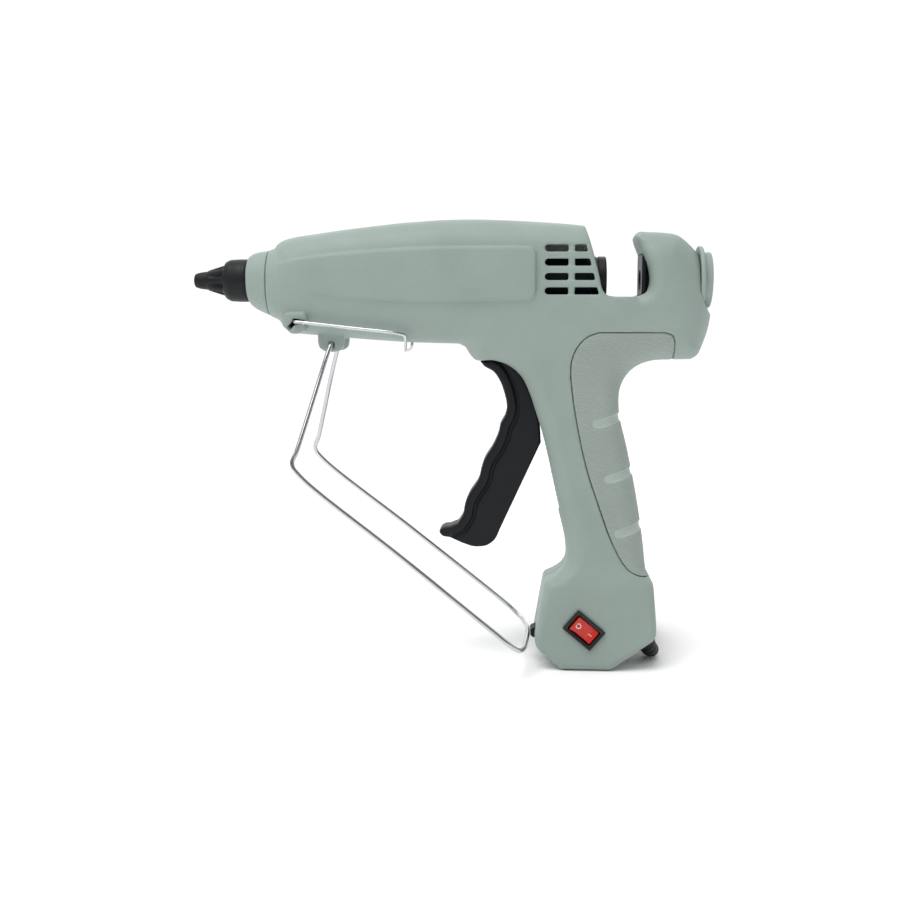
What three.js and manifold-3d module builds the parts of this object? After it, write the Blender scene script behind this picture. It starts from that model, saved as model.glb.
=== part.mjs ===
// Hot-melt glue gun for 11 mm sticks, in millimetres. +Z is up, the nozzle points along -X,
// and the origin is on the flat foot under the handle, in the middle plane of the gun.
import * as THREE from 'three';
import { mergeVertices } from 'three/addons/utils/BufferGeometryUtils.js';
import Module from 'manifold-3d';

const wasm = await Module();
wasm.setup();

// Driving dimensions
const FEED_Z = 241.6; // height of the line that the glue stick runs along
const STICK_BORE = 6.2; // radius of the bores that an 11 mm stick slides through
const WALL = 2.5; // housing wall
const GAP = 0.3; // gap between touching pieces
const CLEAN = 0.03; // edges and steps smaller than this are merged away after a cut
const SPLIT = 0.15; // half of the gap along the housing's parting plane
const BODY_HALF = 25; // half width of the housing at the barrel
const TRIGGER_HALF = 9; // half width of the trigger
const SLOT_HALF = 10.4; // half width of the slot that the trigger moves in
const TRIGGER_PIVOT = [-58.8, 198];
const ARM = 26; // from the trigger's pivot up to the link's pin
const LINK_LENGTH = 30;
const CARRIAGE = { front: -36, back: 4, radius: 14.5 };
const NOSE_X = -218;
const STAND_PIVOT = [-164.5, 202];
const STAND_WIRE = 1.5; // radius
const BAIL_PIVOT = [-185, 216.5];
const BAIL_WIRE = 1; // radius
const SWITCH_AT = [-7.5, -23.5, 26.3];
const SWITCH_TURN = THREE.MathUtils.degToRad(40);
const ROCKER_TILT = THREE.MathUtils.degToRad(8);
const CORD_RADIUS = 3.25;
const COIL_AT = [3.5, 66];
const COIL_MIDDLE = 32.5; // radius at the middle of the coil's turns
const COIL_COLUMNS = 2;
const COIL_LAYERS = 4;
const TAIL_Z = 30; // height of the cord's last stretch, which lies on top of the coil
const PLUG_AT = [-3, 39.4, TAIL_Z + 3.5];
const PLUG_LENGTH = 26; // without the blades

const material = (color, roughness, metalness = 0) =>
  new THREE.MeshStandardMaterial({ color, roughness, metalness });
const shellPlastic = material(0x9fb0a9, 0.55);
const gripPlastic = material(0x97a69f, 0.7);
const blackPlastic = material(0x22262a, 0.45);
const rubber = material(0x1b1d1f, 0.75);
const silicone = material(0x8c3b2a, 0.6);
const redPlastic = material(0xc22b1e, 0.3);
const steel = material(0xc9ccce, 0.22, 1);
const aluminium = material(0xb9bcc0, 0.4, 1);
const brass = material(0xb08d4a, 0.35, 1);

const group = new THREE.Group();

// Six times the volume that the triangles enclose, negative where they face inwards.
function signedVolume(points, triangles) {
  const [a, b, c] = [new THREE.Vector3(), new THREE.Vector3(), new THREE.Vector3()];
  let sum = 0;
  for (let i = 0; i < triangles.length; i += 3) {
    a.fromArray(points, 3 * triangles[i]);
    b.fromArray(points, 3 * triangles[i + 1]);
    c.fromArray(points, 3 * triangles[i + 2]);
    sum += a.dot(b.cross(c));
  }
  return sum;
}

// A closed three.js geometry as a solid that can be joined and cut.
function solid(geometry) {
  geometry.deleteAttribute('normal');
  geometry.deleteAttribute('uv');
  const merged = mergeVertices(geometry, 1e-4);
  const vertProperties = new Float32Array(merged.attributes.position.array);
  const triVerts = new Uint32Array(merged.index.array);
  if (signedVolume(vertProperties, triVerts) < 0) triVerts.reverse();
  return new wasm.Manifold(new wasm.Mesh({ numProp: 3, vertProperties, triVerts }));
}

function geometryOf(body) {
  const mesh = body.asOriginal().simplify(CLEAN).getMesh();
  const geometry = new THREE.BufferGeometry();
  geometry.setAttribute('position', new THREE.BufferAttribute(mesh.vertProperties, 3));
  geometry.setIndex(new THREE.BufferAttribute(mesh.triVerts, 1));
  geometry.computeVertexNormals();
  return geometry;
}

function place(name, body, look) {
  const mesh = new THREE.Mesh(geometryOf(body), look);
  mesh.name = name;
  group.add(mesh);
}

const join = (first, ...others) => others.reduce((all, one) => all.add(one), first);
const cut = (first, ...others) => others.reduce((all, one) => all.subtract(one), first);

function box([x0, y0, z0], [x1, y1, z1]) {
  const geometry = new THREE.BoxGeometry(x1 - x0, y1 - y0, z1 - z0);
  return solid(geometry.translate((x0 + x1) / 2, (y0 + y1) / 2, (z0 + z1) / 2));
}

// A cylinder along Y between two values of y, at a point in the XZ plane.
function pinY([x, z], radius, y0, y1, sides = 20) {
  const geometry = new THREE.CylinderGeometry(radius, radius, y1 - y0, sides);
  return solid(geometry.translate(x, (y0 + y1) / 2, z));
}

// A solid of revolution about the feed line, from [x, radius] pairs that start and end at radius 0
// or close on themselves.
function turned(profile, sides = 20, z = FEED_Z) {
  const points = profile.map(([x, r]) => new THREE.Vector2(r, x));
  const geometry = new THREE.LatheGeometry(points, sides);
  return solid(geometry.rotateZ(-Math.PI / 2).translate(0, 0, z));
}

const rod = (x0, x1, r, sides = 20, z = FEED_Z) =>
  turned([[x0, 0], [x0, r], [x1, r], [x1, 0]], sides, z);
const tube = (x0, x1, inner, outer, sides = 20, z = FEED_Z) =>
  turned([[x0, inner], [x0, outer], [x1, outer], [x1, inner], [x0, inner]], sides, z);

// An outline in the XZ plane, extruded evenly to both sides of y = middle.
function plate(shape, half, middle = 0, curveSegments = 8) {
  const geometry = new THREE.ExtrudeGeometry(shape, { depth: 2 * half, bevelEnabled: false, curveSegments });
  return solid(geometry.rotateX(Math.PI / 2).translate(0, middle + half, 0));
}

const polygon = (points) => new THREE.Shape(points.map(([x, z]) => new THREE.Vector2(x, z)));

// A curve through a list of points, closed into an outline by straight lines between the lists.
function outline(...runs) {
  const shape = new THREE.Shape();
  shape.moveTo(...runs[0][0]);
  for (const run of runs) {
    const [first, ...rest] = run.map(([x, z]) => new THREE.Vector2(x, z));
    shape.lineTo(first.x, first.y);
    if (rest.length === 1) shape.lineTo(rest[0].x, rest[0].y);
    if (rest.length > 1) shape.splineThru(rest);
  }
  return shape;
}

// Warps a unit cylinder into a loft. at(row, angle, reach) gives the point of one section:
// angle runs round it, and reach is 1 on the rim and 0 at the centre of an end face.
function loft(rows, sides, at) {
  const geometry = new THREE.CylinderGeometry(1, 1, 1, sides, rows - 1);
  const position = geometry.attributes.position;
  for (let i = 0; i < position.count; i++) {
    const [x, y, z] = [position.getX(i), position.getY(i), position.getZ(i)];
    const row = Math.round((0.5 - y) * (rows - 1));
    position.setXYZ(i, ...at(row, Math.atan2(z, x), Math.hypot(x, z) > 0.5 ? 1 : 0));
  }
  return solid(geometry);
}

const rounded = (value, power) =>
  (Math.abs(value) < 1e-6 ? 0 : Math.sign(value) * Math.abs(value) ** (2 / power));

// Sections across X: [x, bottom, top, half width]. power 2 is an ellipse, and more is squarer.
function loftAlongX(stations, power, inset = 0, sides = inset ? 12 : 20) {
  return loft(stations.length, sides, (row, angle, reach) => {
    const [x, low, high, half] = stations[row];
    const y = reach * rounded(Math.cos(angle), power) * (half - inset);
    const z = (low + high) / 2 + reach * rounded(Math.sin(angle), power) * ((high - low) / 2 - inset);
    return [x, y, z];
  });
}

// Sections across Z: [z, front, back, half width, power], listed from the top down.
function loftAlongZ(stations, inset = 0, sides = inset > 2 ? 12 : 20) {
  return loft(stations.length, sides, (row, angle, reach) => {
    const [z, front, back, half, power] = stations[row];
    const x = (front + back) / 2 + reach * rounded(Math.cos(angle), power) * ((back - front) / 2 - inset);
    const y = reach * rounded(Math.sin(angle), power) * (half - inset);
    return [x, y, z];
  });
}

// A round wire along a smooth curve through a list of points.
function wire(points, radius, steps, sides = 8) {
  const path = new THREE.CatmullRomCurve3(points.map((p) => new THREE.Vector3(...p)), false, 'centripetal');
  const section = new THREE.Shape();
  for (let i = 0; i < sides; i++) {
    const angle = (2 * Math.PI * i) / sides;
    const point = [radius * Math.cos(angle), radius * Math.sin(angle)];
    i ? section.lineTo(...point) : section.moveTo(...point);
  }
  return solid(new THREE.ExtrudeGeometry(section, { steps, bevelEnabled: false, extrudePath: path }));
}

// ---- Housing -------------------------------------------------------------------------------

const BARREL = [
  [-204, 219, 260.5, 19.5], [-200, 217.5, 261.5, 20], [-198.5, 213.5, 265, 21.5],
  [-193.5, 210.1, 266.8, 22.5], [-172, 207.6, 270.5, 23.5], [-140, 205, 274.5, 24.3],
  [-115, 203, 277, 24.8], [-84.6, 202.6, 278.3, BODY_HALF], [-76.6, 192.6, 278.5, BODY_HALF],
  [-26, 192, 276, BODY_HALF], [-9, 192, 272.2, BODY_HALF], [24, 192.5, 270.4, BODY_HALF],
  [49, 193, 269.3, 24.5], [55, 193.2, 266, 23], [60, 194.5, 261, 21], [64.5, 202, 254, 17.5],
  [67.7, 210.4, 248, 14], [69.8, 219, 241, 9],
];
const HANDLE = [
  [205, -56, 34, 19, 2.8], [191, -57.5, 30, 19, 2.8], [186.5, -53, 20.5, 19, 2.8],
  [180.5, -47.7, 15, 19, 2.8], [170, -43.3, 12.6, 18.8, 2.8], [158.8, -38.9, 13.4, 18.7, 2.8],
  [144, -33.8, 17, 18.9, 2.8], [108, -25.8, 24.8, 19, 2.8], [80, -19.6, 29.6, 19.3, 3],
  [66.4, -18.3, 30.6, 20, 3.4], [59, -26, 31.6, 21.5, 4.5], [54, -31.5, 34.8, 22.8, 6],
  [35, -35, 37.3, 23.5, 6], [20, -37.6, 36.8, 23.5, 6], [16.5, -37.4, 33.2, 23.5, 6],
  [10, -33, 23.4, 23.2, 6], [0.8, -22.4, 10, 22.4, 6], [0, -21, 8.5, 21.4, 6],
];
const LOBE = [
  [-203, 238, 249, 14], [-200, 236.5, 251, 20], [-192, 234.5, 253.5, 24], [-170, 231.5, 257, 26],
  [-140, 229.8, 260, 27.3], [-100, 229, 261.8, 27.8], [-46, 230, 261, 27.8], [-41, 231.5, 259.5, 27],
  [-38.7, 234.5, 256.5, 24],
];
const VENT_ROWS = [260.2, 251.8, 243.3, 234.8]; // middle heights
const VENT_HALF = 2.1;
const VENT_FRONT = -33.8;
const VENT_RIB = [-19.7, -15.8];
const SCREWS = {
  nose: [-183, 222.5], barrel_top: [-100, 268], barrel_low: [-108, 212], rear_top: [41, 259.5],
  rear_low: [48, 206], handle: [-6, 84], base: [22, 43],
};
const BULKHEADS = [-190, -92]; // front face of each bulkhead that carries the melt chamber

// The opening that the glue stick is dropped through, grown by a margin on all its sides.
function stickNotch(grow) {
  const front = [[-10 - grow, 292], [-8 - grow, 270], [0.6 - grow, 238.5], [4.6 - grow, 232 - grow]];
  const back = [[23.8 + grow, 232 - grow], [28.2 + grow, 235], [29.2 + grow, 240], [27.2 + grow, 249],
    [21.4 + grow, 265], [24 + grow, 270.6], [24 + grow, 292]];
  return plate(outline(front.slice(0, 2), front.slice(2), back), 40, 0, 3);
}

function vents() {
  const cuts = [];
  for (const z of VENT_ROWS) {
    const back = -1.3 - 0.27 * (z - VENT_ROWS.at(-1));
    const [low, high] = [z - VENT_HALF, z + VENT_HALF];
    const lean = 0.27 * VENT_HALF;
    const right = [[VENT_RIB[1], low], [back + lean, low], [back - lean, high], [VENT_RIB[1], high]];
    cuts.push(plate(polygon(right), 40));
    cuts.push(box([VENT_FRONT + VENT_HALF, -40, low], [VENT_RIB[0], 40, high]));
    cuts.push(pinY([VENT_FRONT + VENT_HALF, z], VENT_HALF, -40, 40, 12));
  }
  return cuts;
}

function standLug(side) {
  const lug = outline([[-173, 212], [-173, 203]],
    [[-172.4, 200], [-169, 198], [-160.5, 198], [-157.6, 200.5]], [[-156.6, 212], [-173, 212]]);
  return plate(lug, 3.6, side * 10.8, 3);
}

function screwBosses(side) {
  return Object.values(SCREWS).map((at) => {
    const [y0, y1] = side < 0 ? [-20, -SPLIT] : [SPLIT, 20];
    return pinY(at, 4.2, y0, y1, 14);
  });
}

function screwHoles(side) {
  return Object.values(SCREWS).flatMap((at) =>
    side < 0 ? [pinY(at, 1.8, -14, 1, 10)] : [pinY(at, 1.8, -1, 30, 10), pinY(at, 3.5, 14, 40, 14)]);
}

// Where the rear stick guide's flange and the inlet collar sit.
function rearSeats() {
  return [
    box([20, -15.3, 232 - GAP], [27.8, 15.3, 257.3]),
    rod(25, 61, 11.3), rod(59.6, 65.3, 20.9), rod(64.6, 80, 17.2),
  ];
}

// A cylinder along the cord boot's root, between two distances from the housing's face.
function alongBoot(radius, from, to) {
  const geometry = new THREE.CylinderGeometry(radius, radius, to - from, 20);
  const lean = new THREE.Quaternion().setFromUnitVectors(new THREE.Vector3(0, 1, 0), BOOT_HEADING);
  geometry.applyQuaternion(lean);
  const middle = BOOT_START.clone().addScaledVector(BOOT_HEADING, (from + to) / 2);
  return solid(geometry.translate(...middle.toArray()));
}

const bootHole = () => join(alongBoot(6.6, -12, 12), alongBoot(8.8, -5.2, -1.6));

const PANEL_DEPTH = 1.6;

// The area of the handle that the grip panels cover, seen from the side.
function gripArea(grow) {
  const left = [[8, 205], [-3, 207.6 + grow], [-12, 203], [-17 - grow, 191], [-15.4 - grow, 168],
    [-7.5 - grow, 129], [1 - grow, 103], [10, 79 - grow], [19, 63.8 - grow], [30, 60 - grow]];
  const right = [[60, 60 - grow], [60, 205 + grow]];
  return outline([[42 + grow, 206 + grow], [8, 207.6 + grow]], left.slice(1), right);
}

const outerHandle = loftAlongZ(HANDLE);
const outerBarrel = loftAlongX(BARREL, 2.6);
const BOOT_START = new THREE.Vector3(30.2, 0, 16.3);
const BOOT_HEADING = new THREE.Vector3(0.57, 0, -0.82).normalize();

function gripRing(grow) {
  const deep = PANEL_DEPTH + grow;
  const core = loftAlongZ(HANDLE, deep);
  const belowBarrel = box([-40, -40, 30], [80, 40, 190.5 + grow]);
  return outerHandle.intersect(plate(gripArea(grow), 40)).intersect(belowBarrel).subtract(core);
}

function housing(side) {
  const reach = side < 0 ? [-60, -SPLIT] : [SPLIT, 60];
  const half = box([-300, reach[0], -10], [200, reach[1], 320]);
  const cavityHandle = HANDLE.slice(0, -1).map(([z, ...rest]) => [Math.max(z, WALL), ...rest]);
  const hollow = join(
    loftAlongX(BARREL.slice(0, -1).map(([x, ...rest]) => [Math.min(x, 66), ...rest]), 2.6, WALL),
    loftAlongZ(cavityHandle, WALL + PANEL_DEPTH * 0.75));
  const outer = join(outerBarrel, outerHandle, loftAlongX(LOBE, 2.2, 0, 20),
    pinY(BAIL_PIVOT, 4.5, side < 0 ? -25.6 : 12, side < 0 ? -12 : 25.6), standLug(side));
  const bulkheads = BULKHEADS.map((x) =>
    cut(hollow.intersect(box([x, -40, 150], [x + 3, 40, 300])), rod(x - 1, x + 4, 13.8),
      box([x - 1, -8, FEED_Z + 5], [x + 4, 8, FEED_Z + 22])));
  const shell = join(cut(outer, hollow), outer.intersect(stickNotch(WALL)), ...bulkheads,
    ...screwBosses(side).map((boss) => boss.intersect(outer)));
  const opened = cut(shell, stickNotch(0), ...vents(), ...rearSeats(), ...screwHoles(side),
    rod(-50, 8, CARRIAGE.radius + 0.8), rod(-230, -198, 19.5 - WALL),
    box([-80, -SLOT_HALF, 98], [-12, SLOT_HALF, 201]),
    pinY(TRIGGER_PIVOT, 2.8, -19.5, 19.5), pinY(TRIGGER_PIVOT, 5.8, 9, 14.4),
    pinY(STAND_PIVOT, STAND_WIRE + GAP, -18, 18, 12),
    pinY(BAIL_PIVOT, BAIL_WIRE + GAP, side < 0 ? -30 : 19, side < 0 ? -19 : 30, 12),
    switchHole(), bootHole(), clipSeat(), gripRing(GAP));
  const tongue = [[-16, SPLIT - 1, 0], [5, 3, 2]];
  const halved = opened.intersect(half);
  return side < 0
    ? join(halved, box(...tongue))
    : cut(halved, box([-16 - GAP, -1, -1], [5 + GAP, 3 + GAP, 2 + GAP]));
}

// The largest connected piece: slivers that a cut leaves loose are dropped.
function biggest(body) {
  return body.decompose().reduce((best, one) => (one.volume() > best.volume() ? one : best));
}

function housingPieces() {
  place('left_shell', biggest(housing(-1)), shellPlastic);
  place('right_shell', biggest(housing(1)), shellPlastic);
  const ring = gripRing(0);
  place('left_grip_panel', biggest(ring.intersect(box([-60, -40, 0], [80, -SPLIT, 300]))), gripPlastic);
  place('right_grip_panel', biggest(ring.intersect(box([-60, SPLIT, 0], [80, 40, 300]))), gripPlastic);
  const cap = loftAlongX([[NOSE_X, 227.6, 255.6, 14], [-216, 226, 257, 15.5], [-213, 224, 258.7, 17],
    [-204 - GAP, 219.4, 260.4, 19.4]], 2.1);
  const lip = tube(-206, -199.4, 15, 16.6);
  place('nose_cap', cut(join(cap, lip), rod(-230, -190, 13.3)), shellPlastic);
}

function screw(name, at) {
  const head = pinY(at, 3.1, 14 + GAP, 16.6, 12);
  const shank = pinY(at, 1.5, -13, 15, 8);
  place(`screw_${name}`, join(head, shank), steel);
}

// ---- Hot end -------------------------------------------------------------------------------

function hotEnd() {
  place('nozzle', turned([[-252.4, 1.3], [-252.4, 3.2], [-243, 4.3], [-236, 6.2], [-226, 6.2],
    [-226, 4.6], [-216.5, 4.6], [-216.5, 2.6], [-240, 2.6], [-246, 1.3], [-252.4, 1.3]], 16), brass);
  const boot = turned([[-252, 3.7], [-252, 4.4], [-243.9, 5.9], [-234, 8.9], [-232, 11.6], [-226.3, 13],
    [-205.4, 13], [-205.4, 10.6], [-222, 10.6], [-222, 6.7], [-236.2, 6.7], [-243, 4.9],
    [-252, 3.7]]);
  place('nozzle_boot', boot, rubber);
  const pocket = rod(-177, -98, 4, 20, FEED_Z + 13);
  const chamber = join(rod(-220.5, -78, 10.2), rod(-176, -106, 6.4, 24, FEED_Z + 13),
    box([-176, -6.4, FEED_Z + 4], [-106, 6.4, FEED_Z + 13]));
  const bore = turned([[-230, 0], [-230, 5], [-208, 5], [-195, STICK_BORE], [-70, STICK_BORE],
    [-70, 0]]);
  place('melt_chamber', cut(chamber, bore, pocket), aluminium);
  place('heater_cartridge', rod(-174, -101, 4 - GAP, 20, FEED_Z + 13), steel);
  for (const [name, x] of [['front_cushion_ring', BULKHEADS[0]], ['rear_cushion_ring', BULKHEADS[1]]]) {
    place(name, tube(x - 1.5, x + 4.5, 10.5, 13.5), silicone);
  }
  place('inlet_seal', turned([[-86, 10.5], [-86, 12.2], [-76, 12.2], [-72, 9], [-47, 8.2], [-47, STICK_BORE],
    [-77.7, STICK_BORE], [-77.7, 10.5], [-86, 10.5]]), silicone);
}

// ---- Feed ----------------------------------------------------------------------------------

const LINK_PIN = [TRIGGER_PIVOT[0], TRIGGER_PIVOT[1] + ARM];
const CARRIAGE_PIN = [LINK_PIN[0] + LINK_LENGTH, LINK_PIN[1]];

function triggerOutline() {
  const grooves = [[-72.7, 192], [-66.1, 186.4], [-57.8, 173.8], [-55.9, 164], [-60, 151.9], [-62.8, 141.3],
    [-70.3, 128.9], [-73.3, 118.4], [-79.9, 107.9], [-83.3, 97.5], [-86.8, 91.3]];
  const hook = [[-95.9, 87.3], [-98.4, 84.4], [-93.3, 81.4], [-85.4, 77.4], [-72.3, 74.1], [-63.1, 79.9],
    [-60, 86.9]];
  const back = [[-34.8, 141.5], [-36.5, 158.6], [-44.5, 180], [-50, 193]];
  return outline(grooves, hook, back);
}

function trigger() {
  const blade = plate(triggerOutline(), TRIGGER_HALF, 0, 2);
  const hub = pinY(TRIGGER_PIVOT, 6, -TRIGGER_HALF, TRIGGER_HALF, 24);
  const arm = plate(polygon([[-64.5, 188], [-53, 188], [-54, 224], [-63.6, 224]]), 4);
  const eye = pinY(LINK_PIN, 4.8, -4, 4, 20);
  place('trigger', cut(join(blade, hub, arm, eye), pinY(TRIGGER_PIVOT, 2.8, -20, 20),
    pinY(LINK_PIN, 2.3, -20, 20)), blackPlastic);
  place('trigger_pin', pinY(TRIGGER_PIVOT, 2.5, -19, 19), steel);
  const spring = cut(pinY(TRIGGER_PIVOT, 5.2, TRIGGER_HALF + GAP, 14), pinY(TRIGGER_PIVOT, 3, 0, 30));
  place('return_spring', spring, steel);
}

function feedCarriage() {
  const { front, back, radius } = CARRIAGE;
  const lug = box([CARRIAGE_PIN[0] - 5, -4, CARRIAGE_PIN[1] - 5.6],
    [CARRIAGE_PIN[0] + 5, 4, FEED_Z - 10]);
  const [pinX, pinZ] = CARRIAGE_PIN;
  const slot = join(pinY([pinX, pinZ - 1.4], 2.4, -9, 9), pinY([pinX, pinZ + 0.4], 2.4, -9, 9),
    box([pinX - 2.4, -9, pinZ - 1.4], [pinX + 2.4, 9, pinZ + 0.4]));
  const window = box([-29, -5.5, FEED_Z], [-16, 5.5, FEED_Z + 20]);
  place('feed_carriage', cut(join(tube(front, back, STICK_BORE, radius), lug), slot, window,
    rod(front - 1, back + 1, STICK_BORE)), blackPlastic);
  const jaw = outline([[-28.6, FEED_Z + 13.4], [-28.6, FEED_Z + 9]],
    [[-24, FEED_Z + 6.6], [-22.5, FEED_Z + 9]], [[-16.5, FEED_Z + 10], [-16.5, FEED_Z + 13.4]]);
  place('clamp_jaw', plate(jaw, 5), steel);
  const strap = outline([[LINK_PIN[0], LINK_PIN[1] - 2.8], [CARRIAGE_PIN[0], LINK_PIN[1] - 2.8]],
    [[CARRIAGE_PIN[0] + 4, LINK_PIN[1]]],
    [[CARRIAGE_PIN[0], LINK_PIN[1] + 2.8], [LINK_PIN[0], LINK_PIN[1] + 2.8]],
    [[LINK_PIN[0] - 4, LINK_PIN[1]]]);
  place('drive_link', join(plate(strap, 1.1, 5.6), pinY(LINK_PIN, 2, -4, 5.6, 16),
    pinY(CARRIAGE_PIN, 2, -4, 5.6, 16)), steel);
}

function rearInlet() {
  const flange = box([24.9, -15, 232], [27.5, 15, 257]);
  place('stick_guide', cut(join(flange, rod(27, 59.2, 11)), rod(20, 62, STICK_BORE + 0.2)), blackPlastic);
  place('inlet_collar', turned([[59.9, 6.6], [59.9, 20.6], [64.5, 20.6], [65, 16.9], [69.6, 16.9],
    [70.3, 16.2], [70.3, 9.5], [66, 6.6], [59.9, 6.6]]), shellPlastic);
}

// ---- Switch --------------------------------------------------------------------------------

// The switch is built lying along X with its face towards -Y, then turned into place.
function atSwitch(body) {
  const turn = new THREE.Matrix4().makeRotationY(SWITCH_TURN).setPosition(...SWITCH_AT);
  return solid(geometryOf(body).applyMatrix4(turn));
}

const switchBody = (grow) => box([-9.6 - grow, -1, -6.6 - grow], [9.6 + grow, 14 + grow, 6.6 + grow]);

function switchHole() {
  return atSwitch(join(switchBody(GAP), box([-9.9, -5, -6.9], [9.9, 1, 6.9])));
}

function powerSwitch() {
  const bezel = box([-11.1, -1.9, -7.6], [11.1, -GAP, 7.6]);
  const window = box([-8.7, -4, -5.4], [8.7, 10, 5.4]);
  place('switch_frame', atSwitch(cut(join(bezel, switchBody(0)), window)), blackPlastic);
  const face = new THREE.Shape();
  face.moveTo(-6.6, 6).lineTo(-8, -1.6).quadraticCurveTo(0, 0.9, 8, -1.6).lineTo(6.6, 6).lineTo(0, 7.5);
  const lying = new THREE.ExtrudeGeometry(face, { depth: 10, bevelEnabled: false, curveSegments: 8 });
  lying.translate(0, 0, -5).rotateZ(ROCKER_TILT);
  place('switch_rocker', atSwitch(solid(lying)), redPlastic);
}

// ---- Wires ---------------------------------------------------------------------------------

const CLIP_AT = [-37.6, 19.4];

const across = ([x, z], y) => [x, y, z];

function clipSeat() {
  return pinY(CLIP_AT, 3.6, -6, 6, 20);
}

function standParts() {
  const half = [
    across(STAND_PIVOT, 8), across(STAND_PIVOT, 13), across(STAND_PIVOT, 16.4),
    [-165.8, 18.8, 198], [-171, 24, 180], [-182.2, 39, 139.5], [-185, 41.4, 131], [-180.2, 42.4, 124],
    [-121, 44.5, 77], [-63, 46.5, 30.5], [-53.5, 46.2, 22.6], [-48, 42.4, 18.2], [-45, 34, 17],
    [-43.6, 22, 17.6], [-42.4, 8, 18.8],
  ];
  const mirror = half.map(([x, y, z]) => [x, -y, z]).reverse();
  place('stand_wire', wire([...half, [-42.3, 0, 19.2], ...mirror], STAND_WIRE, 84, 6), steel);
  const clip = pinY(CLIP_AT, 3.3, -5.7, 5.7, 20);
  const groove = join(pinY([-42.3, 19.2], STAND_WIRE + 0.5, -9, 9, 16), box([-50, -9, 17.4], [-42.3, 9, 21]));
  place('stand_clip', cut(clip, groove), rubber);
}

function bail() {
  const half = [[-185, 20.5, 216.5], [-185, 24.5, 216.5], [-184.4, 27.6, 216.2], [-181, 28, 216],
    [-150, 27.6, 212.6], [-121, 27, 209.2], [-118, 26, 208], [-117.6, 24, 204.5], [-118, 20, 199.6],
    [-118.4, 15, 198.4]];
  const mirror = half.map(([x, y, z]) => [x, -y, z]).reverse();
  place('hanging_bail', wire([...half, [-118.6, 0, 198], ...mirror], BAIL_WIRE, 52, 6), steel);
}

// ---- Cord ----------------------------------------------------------------------------------

const BOOT_BEND = 14.1;
const BOOT_END_HEADING = new THREE.Vector3(0, 1, 0);

// Points along the bent boot, from inside the wall to its free end, with their headings.
function bootPath(steps) {
  const turn = BOOT_HEADING.angleTo(BOOT_END_HEADING);
  const axis = BOOT_HEADING.clone().cross(BOOT_END_HEADING).normalize();
  const points = [BOOT_START.clone().addScaledVector(BOOT_HEADING, -4)];
  const here = BOOT_START.clone();
  for (let i = 0; i < steps; i++) {
    points.push(here.clone());
    const heading = BOOT_HEADING.clone().applyAxisAngle(axis, (turn * (i + 0.5)) / steps);
    here.addScaledVector(heading, (BOOT_BEND * turn) / steps);
  }
  points.push(here);
  return points;
}

function cordBoot() {
  const points = bootPath(8);
  const curve = new THREE.CatmullRomCurve3(points, false, 'centripetal');
  const frames = curve.computeFrenetFrames(8, false);
  const boot = loft(9, 12, (row, angle, reach) => {
    const t = row / 8;
    const radius = reach * (6.2 - 1.7 * t);
    return curve.getPointAt(t)
      .addScaledVector(frames.normals[row], radius * Math.cos(angle))
      .addScaledVector(frames.binormals[row], radius * Math.sin(angle)).toArray();
  });
  place('cord_boot', join(boot, alongBoot(8.4, -4.5, -2.2)), rubber);
}

function cordParts() {
  const end = bootPath(8).at(-1);
  const start = end.clone().addScaledVector(BOOT_END_HEADING, 3 * GAP);
  const route = [start.toArray(), [38.9, 21, 4], [39.5, 27, 3.6], [40, 33, 3.45], [40.3, 39, 3.45],
    [40.3, 45, 3.45], [40, 51, 3.45], [39.6, 57, 3.45],
    [COIL_AT[0] + COIL_MIDDLE + CORD_RADIUS, COIL_AT[1] - 2.9, 3.45]];
  const coilHalf = COIL_COLUMNS * CORD_RADIUS;
  const coilTop = 0.1 + 2 * COIL_LAYERS * CORD_RADIUS;
  const ring = new THREE.LatheGeometry([[COIL_MIDDLE - coilHalf, 0.1], [COIL_MIDDLE + coilHalf, 0.1],
    [COIL_MIDDLE + coilHalf, coilTop], [COIL_MIDDLE - coilHalf, coilTop],
    [COIL_MIDDLE - coilHalf, 0.1]].map(([r, z]) => new THREE.Vector2(r, z)), 32);
  const coil = solid(ring.rotateX(Math.PI / 2).translate(COIL_AT[0], COIL_AT[1], 0));
  const cord = wire(route, CORD_RADIUS, 20, 8);
  const reach = COIL_MIDDLE + coilHalf + GAP;
  const round = new THREE.CylinderGeometry(reach, reach, 60, 32).rotateX(Math.PI / 2);
  place('power_cord', cut(cord, solid(round.translate(COIL_AT[0], COIL_AT[1], 0))), rubber);
  place('cord_coil', coil, rubber);
  const tail = [
    [-6.7, 97.4, TAIL_Z], [-15.4, 93, TAIL_Z], [-22.5, 86.3, TAIL_Z], [-27.5, 77.3, TAIL_Z],
    [-29.5, 67.2, TAIL_Z], [-27.9, 56.7, TAIL_Z + 0.3], [-23.3, 48.7, TAIL_Z + 1.1],
    [-16.4, 42.9, TAIL_Z + 2.3], [-10.1, 40.3, TAIL_Z + 3.1], [PLUG_AT[0] - 0.9, PLUG_AT[1], PLUG_AT[2]],
  ];
  place('cord_tail', wire(tail, CORD_RADIUS, 24, 8), rubber);
}

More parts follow.
